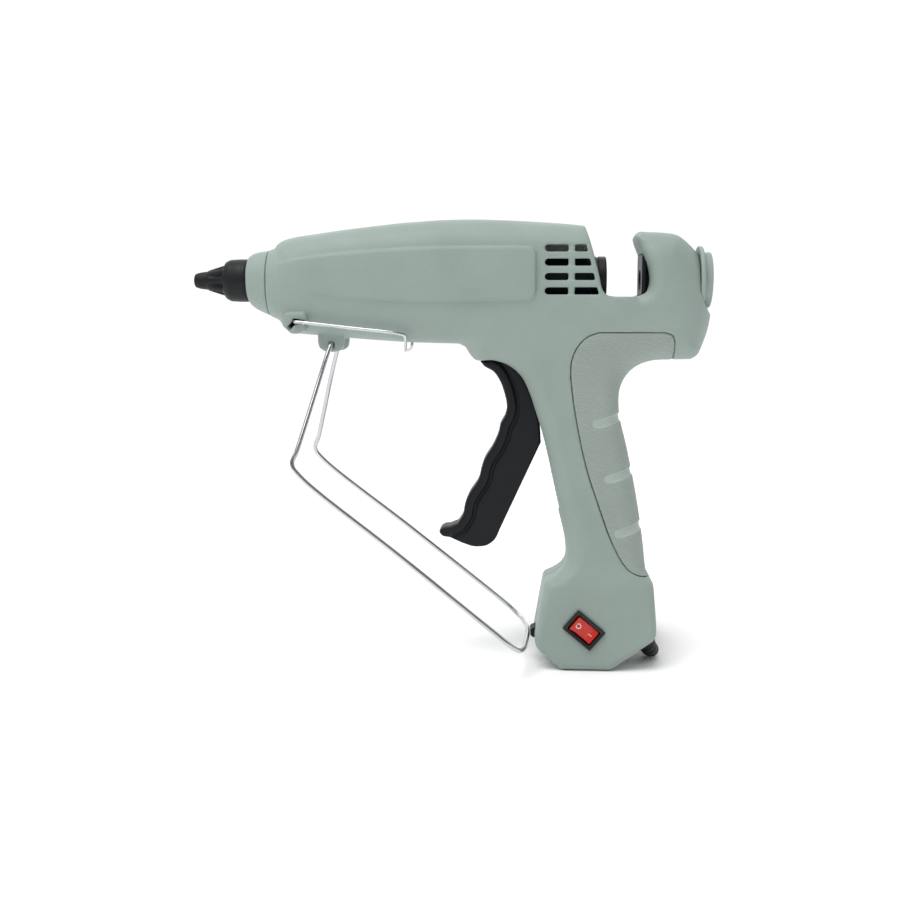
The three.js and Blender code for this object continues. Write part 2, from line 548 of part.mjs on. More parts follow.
function plug() {
  const body = loft(6, 24, (row, angle, reach) => {
    const [x, halfY, halfZ] = [[0, 4.4, 4.4], [6, 5.4, 5], [10.5, 9, 6.4], [15, 11, 7],
      [PLUG_LENGTH - 1, 11, 7], [PLUG_LENGTH, 10.4, 6.4]][row];
    return [PLUG_AT[0] + x, PLUG_AT[1] + reach * rounded(Math.cos(angle), 3) * halfY,
      PLUG_AT[2] + reach * rounded(Math.sin(angle), 3) * halfZ];
  });
  place('plug_body', body, rubber);
  const [x, middle, z] = PLUG_AT;
  const blade = x + PLUG_LENGTH + GAP;
  for (const [name, y] of [['plug_blade_near', middle - 6.3], ['plug_blade_far', middle + 6.3]]) {
    place(name, box([blade, y - 0.8, z - 3.1], [blade + 15.7, y + 0.8, z + 3.1]), brass);
  }
}

function cordClamp() {
  const saddle = box([8, -9, 22], [24, 9, 26]);
  place('cord_clamp', cut(saddle, pinY([16, 30], 4.4, -20, 20)), blackPlastic);
}

housingPieces();
for (const [name, at] of Object.entries(SCREWS)) screw(name, at);
hotEnd();
trigger();
feedCarriage();
rearInlet();
powerSwitch();
standParts();
bail();
cordBoot();
cordParts();
plug();
cordClamp();

export default group;
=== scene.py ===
"""Hot-melt glue gun: the looks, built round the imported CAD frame.

Shapes are worked out in millimetres, in the frame's own axes, and turned into metres when a mesh is made.
"""
import math
from types import SimpleNamespace

import bmesh
import bpy
import numpy as np
import openvdb as vdb
from mathutils import Matrix, Vector


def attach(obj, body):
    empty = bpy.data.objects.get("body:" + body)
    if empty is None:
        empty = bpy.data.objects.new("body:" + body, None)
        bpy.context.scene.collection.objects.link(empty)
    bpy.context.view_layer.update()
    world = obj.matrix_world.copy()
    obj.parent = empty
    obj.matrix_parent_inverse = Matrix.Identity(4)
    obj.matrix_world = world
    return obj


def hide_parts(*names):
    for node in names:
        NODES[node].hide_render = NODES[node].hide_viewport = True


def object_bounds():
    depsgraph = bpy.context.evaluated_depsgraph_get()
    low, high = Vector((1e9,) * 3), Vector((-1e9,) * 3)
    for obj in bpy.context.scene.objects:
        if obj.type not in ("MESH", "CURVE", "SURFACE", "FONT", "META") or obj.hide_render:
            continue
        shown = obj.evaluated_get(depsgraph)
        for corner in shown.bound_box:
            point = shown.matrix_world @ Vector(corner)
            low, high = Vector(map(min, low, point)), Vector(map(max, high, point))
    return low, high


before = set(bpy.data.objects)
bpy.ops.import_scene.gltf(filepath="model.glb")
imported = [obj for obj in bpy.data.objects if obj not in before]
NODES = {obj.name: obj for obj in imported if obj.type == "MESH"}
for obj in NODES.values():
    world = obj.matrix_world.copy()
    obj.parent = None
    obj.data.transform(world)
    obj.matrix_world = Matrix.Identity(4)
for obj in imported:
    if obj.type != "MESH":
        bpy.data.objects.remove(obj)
cad_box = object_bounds()
MM = 0.001

# ---- Camera --------------------------------------------------------------------------------------

CAMERA_TARGET = Vector((-0.0920, 0.0, 0.1354))
CAMERA_DISTANCE = 0.75
CAMERA_AZIMUTH = math.radians(3.3)
CAMERA_ELEVATION = math.radians(6.9)
PIXELS_PER_METRE = 1581  # at the target, in a picture 900 pixels wide
PICTURE_WIDTH = 900


def make_camera():
    data = bpy.data.cameras.new("camera")
    camera = bpy.data.objects.new("camera", data)
    bpy.context.scene.collection.objects.link(camera)
    back = Vector((
        math.sin(CAMERA_AZIMUTH) * math.cos(CAMERA_ELEVATION),
        -math.cos(CAMERA_AZIMUTH) * math.cos(CAMERA_ELEVATION),
        math.sin(CAMERA_ELEVATION),
    ))
    camera.location = CAMERA_TARGET + back * CAMERA_DISTANCE
    camera.rotation_mode = "QUATERNION"
    camera.rotation_quaternion = (-back).to_track_quat("-Z", "Y")
    data.sensor_width = 36.0
    data.lens = PIXELS_PER_METRE * CAMERA_DISTANCE / PICTURE_WIDTH * data.sensor_width
    data.clip_start = 0.01
    data.clip_end = 20.0
    bpy.context.scene.camera = camera


# ---- Materials -----------------------------------------------------------------------------------


def srgb(r, g, b):
    """A colour given from 0 to 255 in sRGB, as linear RGBA."""
    def linear(value):
        value /= 255
        return value / 12.92 if value <= 0.04045 else ((value + 0.055) / 1.055) ** 2.4
    return (linear(r), linear(g), linear(b), 1.0)


class Look:
    """A procedural material under construction."""

    def __init__(self, name, colour, roughness, metallic=0.0):
        self.material = bpy.data.materials.new(name)
        self.material.use_nodes = True
        self.tree = self.material.node_tree
        self.shader = self.tree.nodes["Principled BSDF"]
        self.shader.inputs["Base Color"].default_value = colour
        self.shader.inputs["Roughness"].default_value = roughness
        self.shader.inputs["Metallic"].default_value = metallic
        self.colour = colour
        self.place = self.node("ShaderNodeTexCoord").outputs["Object"]

    def node(self, kind, **inputs):
        made = self.tree.nodes.new(kind)
        for name, value in inputs.items():
            made.inputs[name.replace("_", " ")].default_value = value
        return made

    def link(self, output, target):
        self.tree.links.new(output, target)

    def noise(self, scale, detail=3.0, roughness=0.5):
        made = self.node("ShaderNodeTexNoise", Scale=scale, Detail=detail, Roughness=roughness)
        self.link(self.place, made.inputs["Vector"])
        return made.outputs["Fac"]

    def ramp(self, value, low, high, out_low=0.0, out_high=1.0):
        made = self.node("ShaderNodeMapRange", From_Min=low, From_Max=high, To_Min=out_low, To_Max=out_high)
        self.link(value, made.inputs["Value"])
        return made.outputs["Result"]

    def mix(self, share, first, second):
        made = self.tree.nodes.new("ShaderNodeMix")
        made.data_type = "RGBA"
        self.link(share, made.inputs["Factor"])
        for socket, value in ((made.inputs[6], first), (made.inputs[7], second)):
            if isinstance(value, tuple):
                socket.default_value = value
            else:
                self.link(value, socket)
        return made.outputs[2]

    def maths(self, operation, first, second=None):
        made = self.tree.nodes.new("ShaderNodeMath")
        made.operation = operation
        for socket, value in zip(made.inputs, (first, second)):
            if value is None:
                continue
            if isinstance(value, (int, float)):
                socket.default_value = value
            else:
                self.link(value, socket)
        return made.outputs[0]

    def bump(self, height, distance, strength=1.0, under=None):
        made = self.node("ShaderNodeBump", Distance=distance, Strength=strength)
        self.link(height, made.inputs["Height"])
        if under is not None:
            self.link(under, made.inputs["Normal"])
        return made.outputs["Normal"]

    def paint(self, colour=None, roughness=None, normal=None):
        if colour is not None:
            self.link(colour, self.shader.inputs["Base Color"])
        if roughness is not None:
            self.link(roughness, self.shader.inputs["Roughness"])
        if normal is not None:
            self.link(normal, self.shader.inputs["Normal"])
        return self.material


def shade(colour, factor):
    """The colour made lighter or darker."""
    return tuple(min(1.0, c * factor) for c in colour[:3]) + (1.0,)


def moulded_plastic(name, colour, roughness, grain_scale, grain_height, wear=0.08, gloss=0.5):
    """Moulded plastic with a fine spark-eroded texture, slight colour drift and rubbed edges."""
    look = Look(name, colour, roughness)
    look.shader.inputs["IOR"].default_value = 1.46
    look.shader.inputs["Specular IOR Level"].default_value = gloss
    drift = look.ramp(look.noise(28.0, 4.0), 0.3, 0.7)
    tone = look.mix(drift, shade(colour, 0.95), shade(colour, 1.05))
    speckle = look.ramp(look.noise(grain_scale * 0.6, 2.0), 0.35, 0.65)
    tone = look.mix(speckle, tone, look.mix(drift, shade(colour, 1.0), shade(colour, 1.09)))
    point = look.tree.nodes.new("ShaderNodeNewGeometry").outputs["Pointiness"]
    edge = look.ramp(point, 0.515, 0.56, 0.0, wear * 6)
    tone = look.mix(edge, tone, shade(colour, 1.25))
    rough = look.ramp(look.noise(60.0, 3.0), 0.3, 0.7, roughness - 0.05, roughness + 0.06)
    normal = look.bump(look.noise(grain_scale, 3.0, 0.6), grain_height)
    return look.paint(tone, rough, normal)


SHELL_COLOUR = srgb(143, 157, 151)


def ribbed_grip(name, colour):
    """Soft over-moulded plastic with fine ribs that slope across the palm side, and painted shade in the
    grooves between the ribs.
    """
    look = Look(name, colour, 0.72)
    mapping = look.tree.nodes.new("ShaderNodeMapping")
    mapping.inputs["Rotation"].default_value = (0.0, math.radians(-17), 0.0)
    look.link(look.place, mapping.inputs["Vector"])
    split = look.tree.nodes.new("ShaderNodeSeparateXYZ")
    look.link(mapping.outputs["Vector"], split.inputs["Vector"])
    rib_pitch = 0.0014
    wave = look.maths("SINE", look.maths("MULTIPLY", split.outputs["Z"], 2 * math.pi / rib_pitch))
    ribs = look.bump(wave, 0.00009)
    normal = look.bump(look.noise(2600.0, 2.0), 0.00004, under=ribs)
    drift = look.ramp(look.noise(30.0, 4.0), 0.3, 0.7)
    tone = look.mix(drift, shade(colour, 0.95), shade(colour, 1.04))
    # Painted shade: the colour is darkened in the troughs between the ribs.
    tone = look.mix(look.ramp(wave, -1.0, 0.2, 0.35, 0.0), tone, shade(colour, 0.88))
    rough = look.ramp(look.noise(70.0, 3.0), 0.3, 0.7, 0.66, 0.8)
    return look.paint(tone, rough, normal)


def bright_metal(name, colour, roughness):
    """Drawn or turned metal with fine marks and a little tarnish."""
    look = Look(name, colour, roughness, 1.0)
    marks = look.noise(900.0)
    tarnish = look.ramp(look.noise(45.0, 5.0), 0.4, 0.75, 0.0, 0.4)
    tone = look.mix(tarnish, colour, shade(colour, 0.72))
    rough = look.ramp(marks, 0.3, 0.7, roughness * 0.75, roughness * 1.4)
    return look.paint(tone, rough, look.bump(marks, 0.00001, 0.5))


def plain_rubber(name, colour, roughness, grain=1500.0, height=0.00003, gloss=0.2):
    """Matt rubber or paint with a fine grain and a little dust."""
    look = Look(name, colour, roughness)
    look.shader.inputs["Specular IOR Level"].default_value = gloss
    dust = look.ramp(look.noise(90.0, 5.0), 0.45, 0.8, 0.0, 0.3)
    tone = look.mix(dust, colour, shade(colour, 1.8))
    rough = look.ramp(look.noise(140.0, 4.0), 0.3, 0.7, roughness - 0.08, roughness + 0.08)
    return look.paint(tone, rough, look.bump(look.noise(grain, 3.0), height))


def make_materials():
    """Every material, by its short name. Named colours are sRGB, and bare metals are linear."""
    return {
        "housing": moulded_plastic("housing_plastic", SHELL_COLOUR, 0.55, 1900.0, 0.00006),
        "grip": ribbed_grip("grip_plastic", srgb(149, 160, 154)),
        # Painted highlight: the smooth thumb grooves are coloured lighter than the ribbed grip; their lack of
        # ribs is real.
        "grip_smooth_painted_highlight": moulded_plastic("grip_smooth_painted_highlight", srgb(160, 172, 166), 0.45, 1900.0, 0.00002, 0.0),
        "black_plastic": moulded_plastic(
            "black_plastic", srgb(22, 25, 29), 0.42, 1600.0, 0.00002, wear=0.02, gloss=0.22),
        "switch_black": moulded_plastic("switch_black", srgb(18, 18, 20), 0.22, 900.0, 0.000008, 0.01),
        "switch_red": moulded_plastic("switch_red", srgb(206, 44, 30), 0.2, 700.0, 0.000006, 0.03),
        "rubber": plain_rubber("boot_rubber", srgb(25, 27, 29), 0.5),
        "cord": plain_rubber("cord_rubber", srgb(20, 20, 21), 0.45, 900.0, 0.00002),
        "silicone": plain_rubber("silicone", srgb(150, 58, 40), 0.5),
        "wire": bright_metal("bright_wire", (0.56, 0.57, 0.59, 1.0), 0.2),
        "steel": bright_metal("zinc_steel", (0.66, 0.67, 0.68, 1.0), 0.28),
        "aluminium": bright_metal("cast_aluminium", (0.72, 0.73, 0.75, 1.0), 0.42),
        "brass": bright_metal("brass", (0.72, 0.52, 0.24, 1.0), 0.3),
        "mark_white": plain_rubber("mark_white", srgb(232, 232, 228), 0.4, 600.0, 0.000004),
    }


# ---- Mesh making ---------------------------------------------------------------------------------


def new_object(name, vertices, faces, material):
    """A smooth-shaded mesh object from points in millimetres."""
    mesh = bpy.data.meshes.new(name)
    mesh.from_pydata([tuple(c * MM for c in v) for v in vertices], [], [tuple(f) for f in faces])
    mesh.validate()
    mesh.update()
    mesh.shade_smooth()
    return from_mesh(name, mesh, material)


def from_mesh(name, mesh, material):
    made = bpy.data.objects.new(name, mesh)
    bpy.context.scene.collection.objects.link(made)
    made.data.materials.append(material)
    return made


def stands_for(made, body, slot, *nodes):
    """Says which body the piece moves with and the CAD nodes that it replaces; its slot argument is not used.
    """
    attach(made, body)
    if nodes:
        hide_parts(*nodes)
    return made


def smooth_min(a, b, k):
    """The lower of two distances, with a fillet of about k where they meet."""
    h = np.clip(0.5 + 0.5 * (b - a) / k, 0.0, 1.0)
    return b + (a - b) * h - k * h * (1.0 - h)


def smooth_max(a, b, k):
    return -smooth_min(-a, -b, k)


class Space:
    """A grid of points in millimetres, on which distances to solids are worked out."""

    def __init__(self, low, high, step):
        self.low, self.step = np.array(low, float), step
        counts = [int(math.ceil((h - l) / step)) + 1 for l, h in zip(low, high)]
        axes = [l + step * np.arange(n) for l, n in zip(low, counts)]
        self.x = axes[0].astype(np.float32)[:, None, None]
        self.y = axes[1].astype(np.float32)[None, :, None]
        self.z = axes[2].astype(np.float32)[None, None, :]
        self.shape = counts

    def skin(self, field, name, material, most_faces=None):
        """The surface where the field is 0, as a mesh object."""
        reach = 3.0 * self.step
        grid = vdb.FloatGrid(reach)
        values = np.clip(np.broadcast_to(field, self.shape), -reach, reach).astype(np.float32)
        grid.copyFromArray(np.ascontiguousarray(values), tolerance=1e-5)
        points, quads = grid.convertToQuads(isovalue=0.0)
        mesh = bpy.data.meshes.new(name)
        mesh.vertices.add(len(points))
        mesh.vertices.foreach_set("co", ((points * self.step + self.low) * MM).astype(np.float32).ravel())
        mesh.loops.add(4 * len(quads))
        mesh.loops.foreach_set("vertex_index", quads[:, ::-1].astype(np.int32).ravel())
        mesh.polygons.add(len(quads))
        mesh.polygons.foreach_set("loop_start", np.arange(0, 4 * len(quads), 4, dtype=np.int32))
        mesh.update(calc_edges=True)
        mesh.validate()
        made = from_mesh(name, mesh, material)
        if most_faces and 2 * len(quads) > most_faces:
            thin(made, most_faces / (2 * len(quads)))
        made.data.shade_smooth()
        return made


def thin(made, ratio):
    """Joins small faces where the surface is nearly flat, and applies it."""
    modifier = made.modifiers.new("thin", "DECIMATE")
    modifier.ratio = ratio
    apply_modifiers(made)


def apply_modifiers(made):
    graph = bpy.context.evaluated_depsgraph_get()
    mesh = bpy.data.meshes.new_from_object(made.evaluated_get(graph))
    made.modifiers.clear()
    made.data = mesh


def outline_distance(px, pz, points):
    """Signed distance in the XZ plane to a closed outline, negative inside."""
    pts = np.array(points, np.float32)
    best = np.full(np.broadcast(px, pz).shape, 1e9, np.float32)
    inside = np.zeros(best.shape, bool)
    for (ax, az), (bx, bz) in zip(pts, np.roll(pts, -1, 0)):
        ex, ez = bx - ax, bz - az
        t = np.clip(((px - ax) * ex + (pz - az) * ez) / max(ex * ex + ez * ez, 1e-9), 0, 1)
        best = np.minimum(best, (px - ax - ex * t) ** 2 + (pz - az - ez * t) ** 2)
        crosses = ((az <= pz) & (bz > pz)) | ((bz <= pz) & (az > pz))
        with np.errstate(divide="ignore", invalid="ignore"):
            at = ax + (pz - az) * ex / ez
        inside ^= crosses & (px < at)
    return np.where(inside, -1, 1) * np.sqrt(best)


def curve_through(points, per_span=8):
    """A centripetal Catmull-Rom curve through points of any dimension."""
    p = [np.array(q, float) for q in points]
    if len(p) < 3:
        return p
    p = [2 * p[0] - p[1], *p, 2 * p[-1] - p[-2]]
    made = []
    for a, b, c, d in zip(p, p[1:], p[2:], p[3:]):
        ta = 0.0
        tb = ta + np.linalg.norm(b - a) ** 0.5
        tc = tb + np.linalg.norm(c - b) ** 0.5
        td = tc + np.linalg.norm(d - c) ** 0.5
        for i in range(per_span):
            t = tb + (tc - tb) * i / per_span
            ab = (tb - t) / (tb - ta) * a + (t - ta) / (tb - ta) * b
            bc = (tc - t) / (tc - tb) * b + (t - tb) / (tc - tb) * c
            cd = (td - t) / (td - tc) * c + (t - tc) / (td - tc) * d
            first = (tc - t) / (tc - ta) * ab + (t - ta) / (tc - ta) * bc
            second = (td - t) / (td - tb) * bc + (t - tb) / (td - tb) * cd
            made.append((tc - t) / (tc - tb) * first + (t - tb) / (tc - tb) * second)
    made.append(p[-2])
    return made


def outline(*runs):
    """Runs of points, each smoothed into a curve, joined by straight lines."""
    return [tuple(q) for run in runs for q in curve_through(run)]


def rounded_slab(flat, across, radius):
    """Distance to a slab with rounded edges, from its outline's distance and the distance past its faces."""
    a, b = flat + radius, across + radius
    return np.minimum(np.maximum(a, b), 0) + np.hypot(np.maximum(a, 0), np.maximum(b, 0)) - radius


def box_distance(space, low, high, radius=0.0):
    """Signed distance to a box with rounded edges."""
    far = [np.abs(axis - (l + h) / 2) - (h - l) / 2 + radius
           for axis, l, h in zip((space.x, space.y, space.z), low, high)]
    outside = np.sqrt(sum(np.maximum(f, 0) ** 2 for f in far))
    return outside + np.minimum(np.maximum(np.maximum(far[0], far[1]), far[2]), 0) - radius


def pin_distance(space, at, radius, y0, y1, edge=0.0):
    """Signed distance to a cylinder along Y."""
    flat = np.hypot(space.x - at[0], space.z - at[1]) - radius
    across = np.abs(space.y - (y0 + y1) / 2) - (y1 - y0) / 2
    return rounded_slab(flat, across, edge) if edge else np.maximum(flat, across)


def rod_distance(space, x0, x1, radius, z, edge=0.0):
    """Signed distance to a cylinder along X, in the middle plane."""
    flat = np.hypot(space.y, space.z - z) - radius
    across = np.abs(space.x - (x0 + x1) / 2) - (x1 - x0) / 2
    return rounded_slab(flat, across, edge) if edge else np.maximum(flat, across)


def step_up(value, low, high):
    """0 below low, 1 above high, and smooth between."""
    t = np.clip((value - low) / (high - low), 0, 1)
    return t * t * (3 - 2 * t)


def table_of(points, at):
    """A smooth value between listed (place, value) pairs."""
    curve = np.array(curve_through(points, 12))
    return np.interp(at, curve[:, 0], curve[:, 1])


# ---- Housing -------------------------------------------------------------------------------------

FEED_Z = 241.6
WALL = 2.5
SPLIT = 0.15
SHELL_STEP = 0.8
MOST_FACES = 190_000  # triangles in one piece

BARREL_SIDE = [
    [(-232, 258)],
    [(-204, 260.5), (-200.6, 261.4), (-198.6, 264.0), (-193.5, 266.8), (-172, 270.5), (-140, 274.5),
     (-115, 277.0), (-80, 278.5), (-26, 276.0), (24.7, 270.8), (39, 270), (46, 268.8), (51.4, 265.4),
     (58, 259), (65, 250), (68.4, 241), (69.3, 230), (67.4, 213.8), (63.1, 201.9), (60, 196),
     (56, 193.4)],
    [(44, 193.2), (33, 192.6), (24.5, 189.8), (18, 184.6), (13.6, 176), (12.8, 166), (14.2, 155),
     (18, 140), (24.8, 108), (29.2, 80), (30.4, 68), (31, 62.4)],
    [(31.6, 61.3), (35.4, 54.3)],
    [(37.4, 29.3), (37.3, 22.5), (35.5, 18.9)],
    [(10.8, 0.9), (8.4, 0.0)],
    [(-21.0, 0.0), (-23.0, 1.2)],
    [(-34.4, 10.9), (-37.2, 15), (-37.8, 19.6)],
    [(-32.4, 53.4), (-31.2, 55.3)],
    [(-26.4, 57.7), (-21.4, 61.8), (-18.6, 67.4), (-18.9, 78), (-25.8, 108), (-33.8, 144), (-39.1, 161.4),
     (-43.1, 173), (-48.3, 183), (-56, 189.4), (-65, 192.2), (-75.2, 192.2), (-79, 195.6), (-82.4, 200.8),
     (-86, 202.7)],
    [(-115, 203.4), (-140, 205), (-172, 207.6), (-189, 209.4), (-195, 212), (-198.4, 216.8),
     (-204, 219.4)],
    [(-232, 222)],
]
HOUSING_FRONT = -204.0
HALF_WIDTH_ALONG = [(-230, 19.2), (-204, 19.6), (-199, 21), (-190, 22.8), (-172, 23.8), (-140, 24.5),
                    (-90, 25), (24, 25), (48, 24.4), (60, 22.2), (68, 18.5), (75, 17)]
HALF_WIDTH_UP = [(-10, 23.5), (30, 23.5), (52, 22.9), (58, 21.6), (66, 19.8), (80, 19.1), (120, 18.9),
                 (178, 19.2), (188, 20.8), (198, 23.4), (208, 25), (300, 25)]
EDGE_UP = [(-10, 4.5), (40, 4.5), (56, 7), (70, 11.5), (180, 12), (205, 17), (225, 20), (300, 20)]

VENT_ROWS = [260.2, 251.8, 243.3, 234.8]
VENT_HALF = 2.1
VENT_FRONT = -33.8
VENT_RIB = (-19.7, -15.8)
SCREWS = {
    "nose": (-183, 222.5), "barrel_top": (-100, 268), "barrel_low": (-108, 212), "rear_top": (41, 259.5),
    "rear_low": (48, 206), "handle": (-6, 84), "base": (22, 43),
}
TRIGGER_PIVOT = (-58.8, 198.0)
STAND_PIVOT = (-164.5, 202.0)
BAIL_PIVOT = (-185.0, 216.5)
CLIP_AT = (-37.6, 19.4)
PANEL_DEPTH = 1.6
GRIP_AREA = [
    [(38.6, 209.8), (43, 208), (44.6, 203.6)],
    [(44.6, 60)],
    [(32, 59.2), (26, 60.2), (19, 64.2), (10, 79), (1, 103), (-7.5, 129), (-15.4, 168), (-17.3, 188),
     (-16.2, 195.5), (-13, 202), (-8, 207), (-1, 209.8)],
]
NOTCH_SIDE = [
    [(-10.4, 292), (-8.6, 271.5)],
    [(-4.6, 256.8), (-1.2, 243.8), (0.4, 236.6), (3.2, 232.6), (8.4, 231.4)],
    [(22, 231.4), (27.4, 234.2), (29.4, 239.2), (28.6, 248), (25, 257), (21.8, 264), (21.2, 267.6),
     (22.4, 269.8)],
    [(23.5, 292)],
]
LOBE_LOW = [(-205, 241.5), (-198, 237.4), (-185, 234.2), (-160, 231.2), (-130, 229.6), (-90, 229),
            (-50, 229.8), (-30, 230.6)]
LOBE_HIGH = [(-205, 246.5), (-198, 250.8), (-185, 254.2), (-160, 257.4), (-130, 259.6), (-100, 260.9),
             (-60, 261.3), (-30, 260.6)]
LOBE_REACH = [(-205, 12), (-198, 19.6), (-190, 22.9), (-180, 25), (-160, 26.8), (-120, 28.2), (-80, 28.7),
              (-45, 28.7), (-30, 28.5)]
LOBE_REAR = -39.0


def barrel_and_handle(space):
    """The housing's outer form without its openings."""
    flat = outline_distance(space.x, space.z, outline(*BARREL_SIDE))
    along = table_of(HALF_WIDTH_ALONG, space.x)
    up = table_of(HALF_WIDTH_UP, space.z)
    half = along + up - 25.0
    low_half = np.minimum(up, 25.0)
    share = step_up(space.z, 188, 206)
    half = half * share + low_half * (1 - share)
    radius = table_of(EDGE_UP, space.z)
    nose = step_up(space.x, -202, -190)
    radius = radius * nose + np.minimum(radius, 17.5) * (1 - nose)
    return smooth_max(rounded_slab(flat, np.abs(space.y) - half, radius), HOUSING_FRONT - space.x, 1.0)


def lobe(space):
    """The long raised boss on each side of the barrel."""
    low, high = table_of(LOBE_LOW, space.x), table_of(LOBE_HIGH, space.x)
    reach = table_of(LOBE_REACH, space.x)
    middle, half = (low + high) / 2, (high - low) / 2
    band = np.abs(space.z - middle) - half
    crown = reach - 0.035 * np.maximum(np.abs(space.z - middle) - 4, 0) ** 1.45
    side = np.abs(space.y) - crown
    ends = np.maximum(space.x - LOBE_REAR, HOUSING_FRONT - space.x)
    flat = rounded_slab(band, ends + np.zeros_like(band), 4.5)
    return smooth_max(flat, side, 1.8)


def keel_recess(space):
    """What is cut off each side under the barrel, where the hanging bail folds in."""
    edge = 213.2 - 0.052 * (space.x + 190)
    flat = np.maximum(np.maximum(space.x + 87.2, -192 - space.x), space.z - edge)
    return np.maximum(flat, 20.6 - np.abs(space.y))


def bail_knob(space):
    """The round knob that each end of the hanging bail turns in, with its slot."""
    dx, dz = space.x - BAIL_PIVOT[0], space.z - BAIL_PIVOT[1]
    flat = np.maximum(np.hypot(dx, dz) - 7.6, dz - 5.2)
    knob = rounded_slab(flat, np.abs(space.y) - 25.6, 0.8)

    def arm(degrees, width):
        angle = math.radians(degrees)
        along = dx * math.cos(angle) + dz * math.sin(angle)
        away = np.abs(dz * math.cos(angle) - dx * math.sin(angle)) - width
        return np.maximum(np.maximum(away, 22.6 - np.abs(space.y)), np.maximum(-1.5 - along, along - 8.5))

    return knob, np.minimum(arm(-7, 1.5), arm(-133, 1.3))


def stand_lug(space):
    flat = outline_distance(space.x, space.z, outline(
        [(-173, 215), (-173, 203.5)], [(-172, 200), (-168.6, 198), (-161, 198), (-157.8, 200.2), (-157, 204)],
        [(-156.4, 215)]))
    lugs = rounded_slab(flat, np.abs(np.abs(space.y) - 10.8) - 3.7, 1.0)
    return lugs


def vents(space):
    cuts = None
    for z in VENT_ROWS:
        back = -1.9 - 0.27 * (space.z - VENT_ROWS[-1])
        row = np.abs(space.z - z) - VENT_HALF
        front = np.hypot(np.minimum(space.x - VENT_FRONT - VENT_HALF, 0), space.z - z) - VENT_HALF
        slot = np.maximum(np.maximum(row, front), space.x - back)
        cuts = slot if cuts is None else np.minimum(cuts, slot)
    return cuts


def vent_rib(space):
    """The rib that ties the vent bars together, set back from their faces."""
    return np.maximum(np.abs(space.x - sum(VENT_RIB) / 2) - (VENT_RIB[1] - VENT_RIB[0]) / 2,
                      np.abs(space.z - 247.5) - 16) + 0 * space.y


def roof_rib(space):
    """The rib under the roof, behind the top row of vents and just clear of the feed carriage."""
    return box_distance(space, (-44, -1.4, 256.9), (-2, 1.4, 280), 0.3)


def boot_frame():
    """Where the cord boot leaves the housing, and which way it points."""
    return Vector((30.2, 0.0, 16.3)), Vector((0.57, 0.0, -0.82)).normalized()


def along_boot(space, radius, start, end):
    at, heading = boot_frame()
    t = (space.x - at.x) * heading.x + (space.z - at.z) * heading.z
    away = (space.x - at.x) * heading.z - (space.z - at.z) * heading.x
    return np.maximum(np.hypot(away, space.y) - radius, np.abs(t - (start + end) / 2) - (end - start) / 2)


def grip_area(space):
    return outline_distance(space.x, space.z, outline(*GRIP_AREA))


def trigger_slot(space):
    low, high = (-82, -10.4, 98), (-12, 10.4, 201)
    return box_distance(space, low, high, 0.5)


def housing_half(side, materials):
    """One moulded half of the housing, with its wall, openings and inner bosses."""
    y0, y1 = (-29.2, 0.8) if side < 0 else (-0.8, 29.2)
    space = Space((-206, y0, -1.5), (72, y1, 281), SHELL_STEP)
    outer = barrel_and_handle(space)
    outer = smooth_max(outer, -keel_recess(space), 1.2)
    outer = smooth_min(outer, lobe(space), 0.9)
    outer = smooth_min(outer, stand_lug(space), 1.0)
    knob, knob_slot = bail_knob(space)
    outer = smooth_min(outer, knob, 0.5)
    notch = outline_distance(space.x, space.z, outline(*NOTCH_SIDE))
    soft = 2.2 + 7.5 * step_up(space.x, 12, 26) * (1 - step_up(space.z, 262, 270))
    cavity = smooth_max(outer, -notch, 2.0) + WALL
    outer = smooth_max(outer, -notch, soft)
    shell = np.maximum(outer, -cavity)
    for at in SCREWS.values():
        boss = np.maximum(pin_distance(space, at, 4.2, -22, 22), outer + 0.3)
        shell = smooth_min(shell, boss, 0.8)
    shell = smooth_max(shell, -vents(space), 0.7)
    shell = np.minimum(shell, np.maximum(vent_rib(space), np.maximum(outer + 0.7, -(outer + 2.6))))
    shell = np.minimum(shell, np.maximum(roof_rib(space), outer + 0.5))
    cuts = [
        knob_slot,
        rod_distance(space, -50, 8, 15.3, FEED_Z),
        rod_distance(space, -230, -198, 17, FEED_Z),
        rod_distance(space, 25, 61, 11.3, FEED_Z),
        rod_distance(space, 59.6, 80, 20.9, FEED_Z),
        box_distance(space, (20, -15.3, 231.7), (27.8, 15.3, 257.3), 0.5),
        trigger_slot(space),
        along_boot(space, 6.6, -12, 12),
        along_boot(space, 8.8, -5.2, -1.6),
        pin_distance(space, CLIP_AT, 3.6, -6, 6),
        pin_distance(space, STAND_PIVOT, 1.8, -18, 18),
        switch_hole(space),
    ]
    for at in SCREWS.values():
        cuts.append(pin_distance(space, at, 1.8, -14, 30))
        if side > 0:
            cuts.append(pin_distance(space, at, 3.5, 14, 40))
    opening = cuts[0]
    for one in cuts[1:]:
        opening = np.minimum(opening, one)
    shell = smooth_max(shell, -opening, 0.6)
    seat = np.maximum(grip_area(space) - 0.3, -(barrel_and_handle(space) + PANEL_DEPTH + 0.3))
    shell = smooth_max(shell, -seat, 0.6)
    seam = np.hypot(np.maximum(np.abs(outer) - 0.1, 0), space.y) - 0.55
    shell = smooth_max(shell, -seam, 0.3)
    shell = np.maximum(shell, side * -space.y + SPLIT)
    shell = np.maximum(shell, 0.0 - space.z)
    name = "left_shell_skin" if side < 0 else "right_shell_skin"
    made = space.skin(shell, name, materials["housing"], MOST_FACES)
    drop_crumbs(made)
    return stands_for(made, "housing", "housing", "left_shell" if side < 0 else "right_shell")


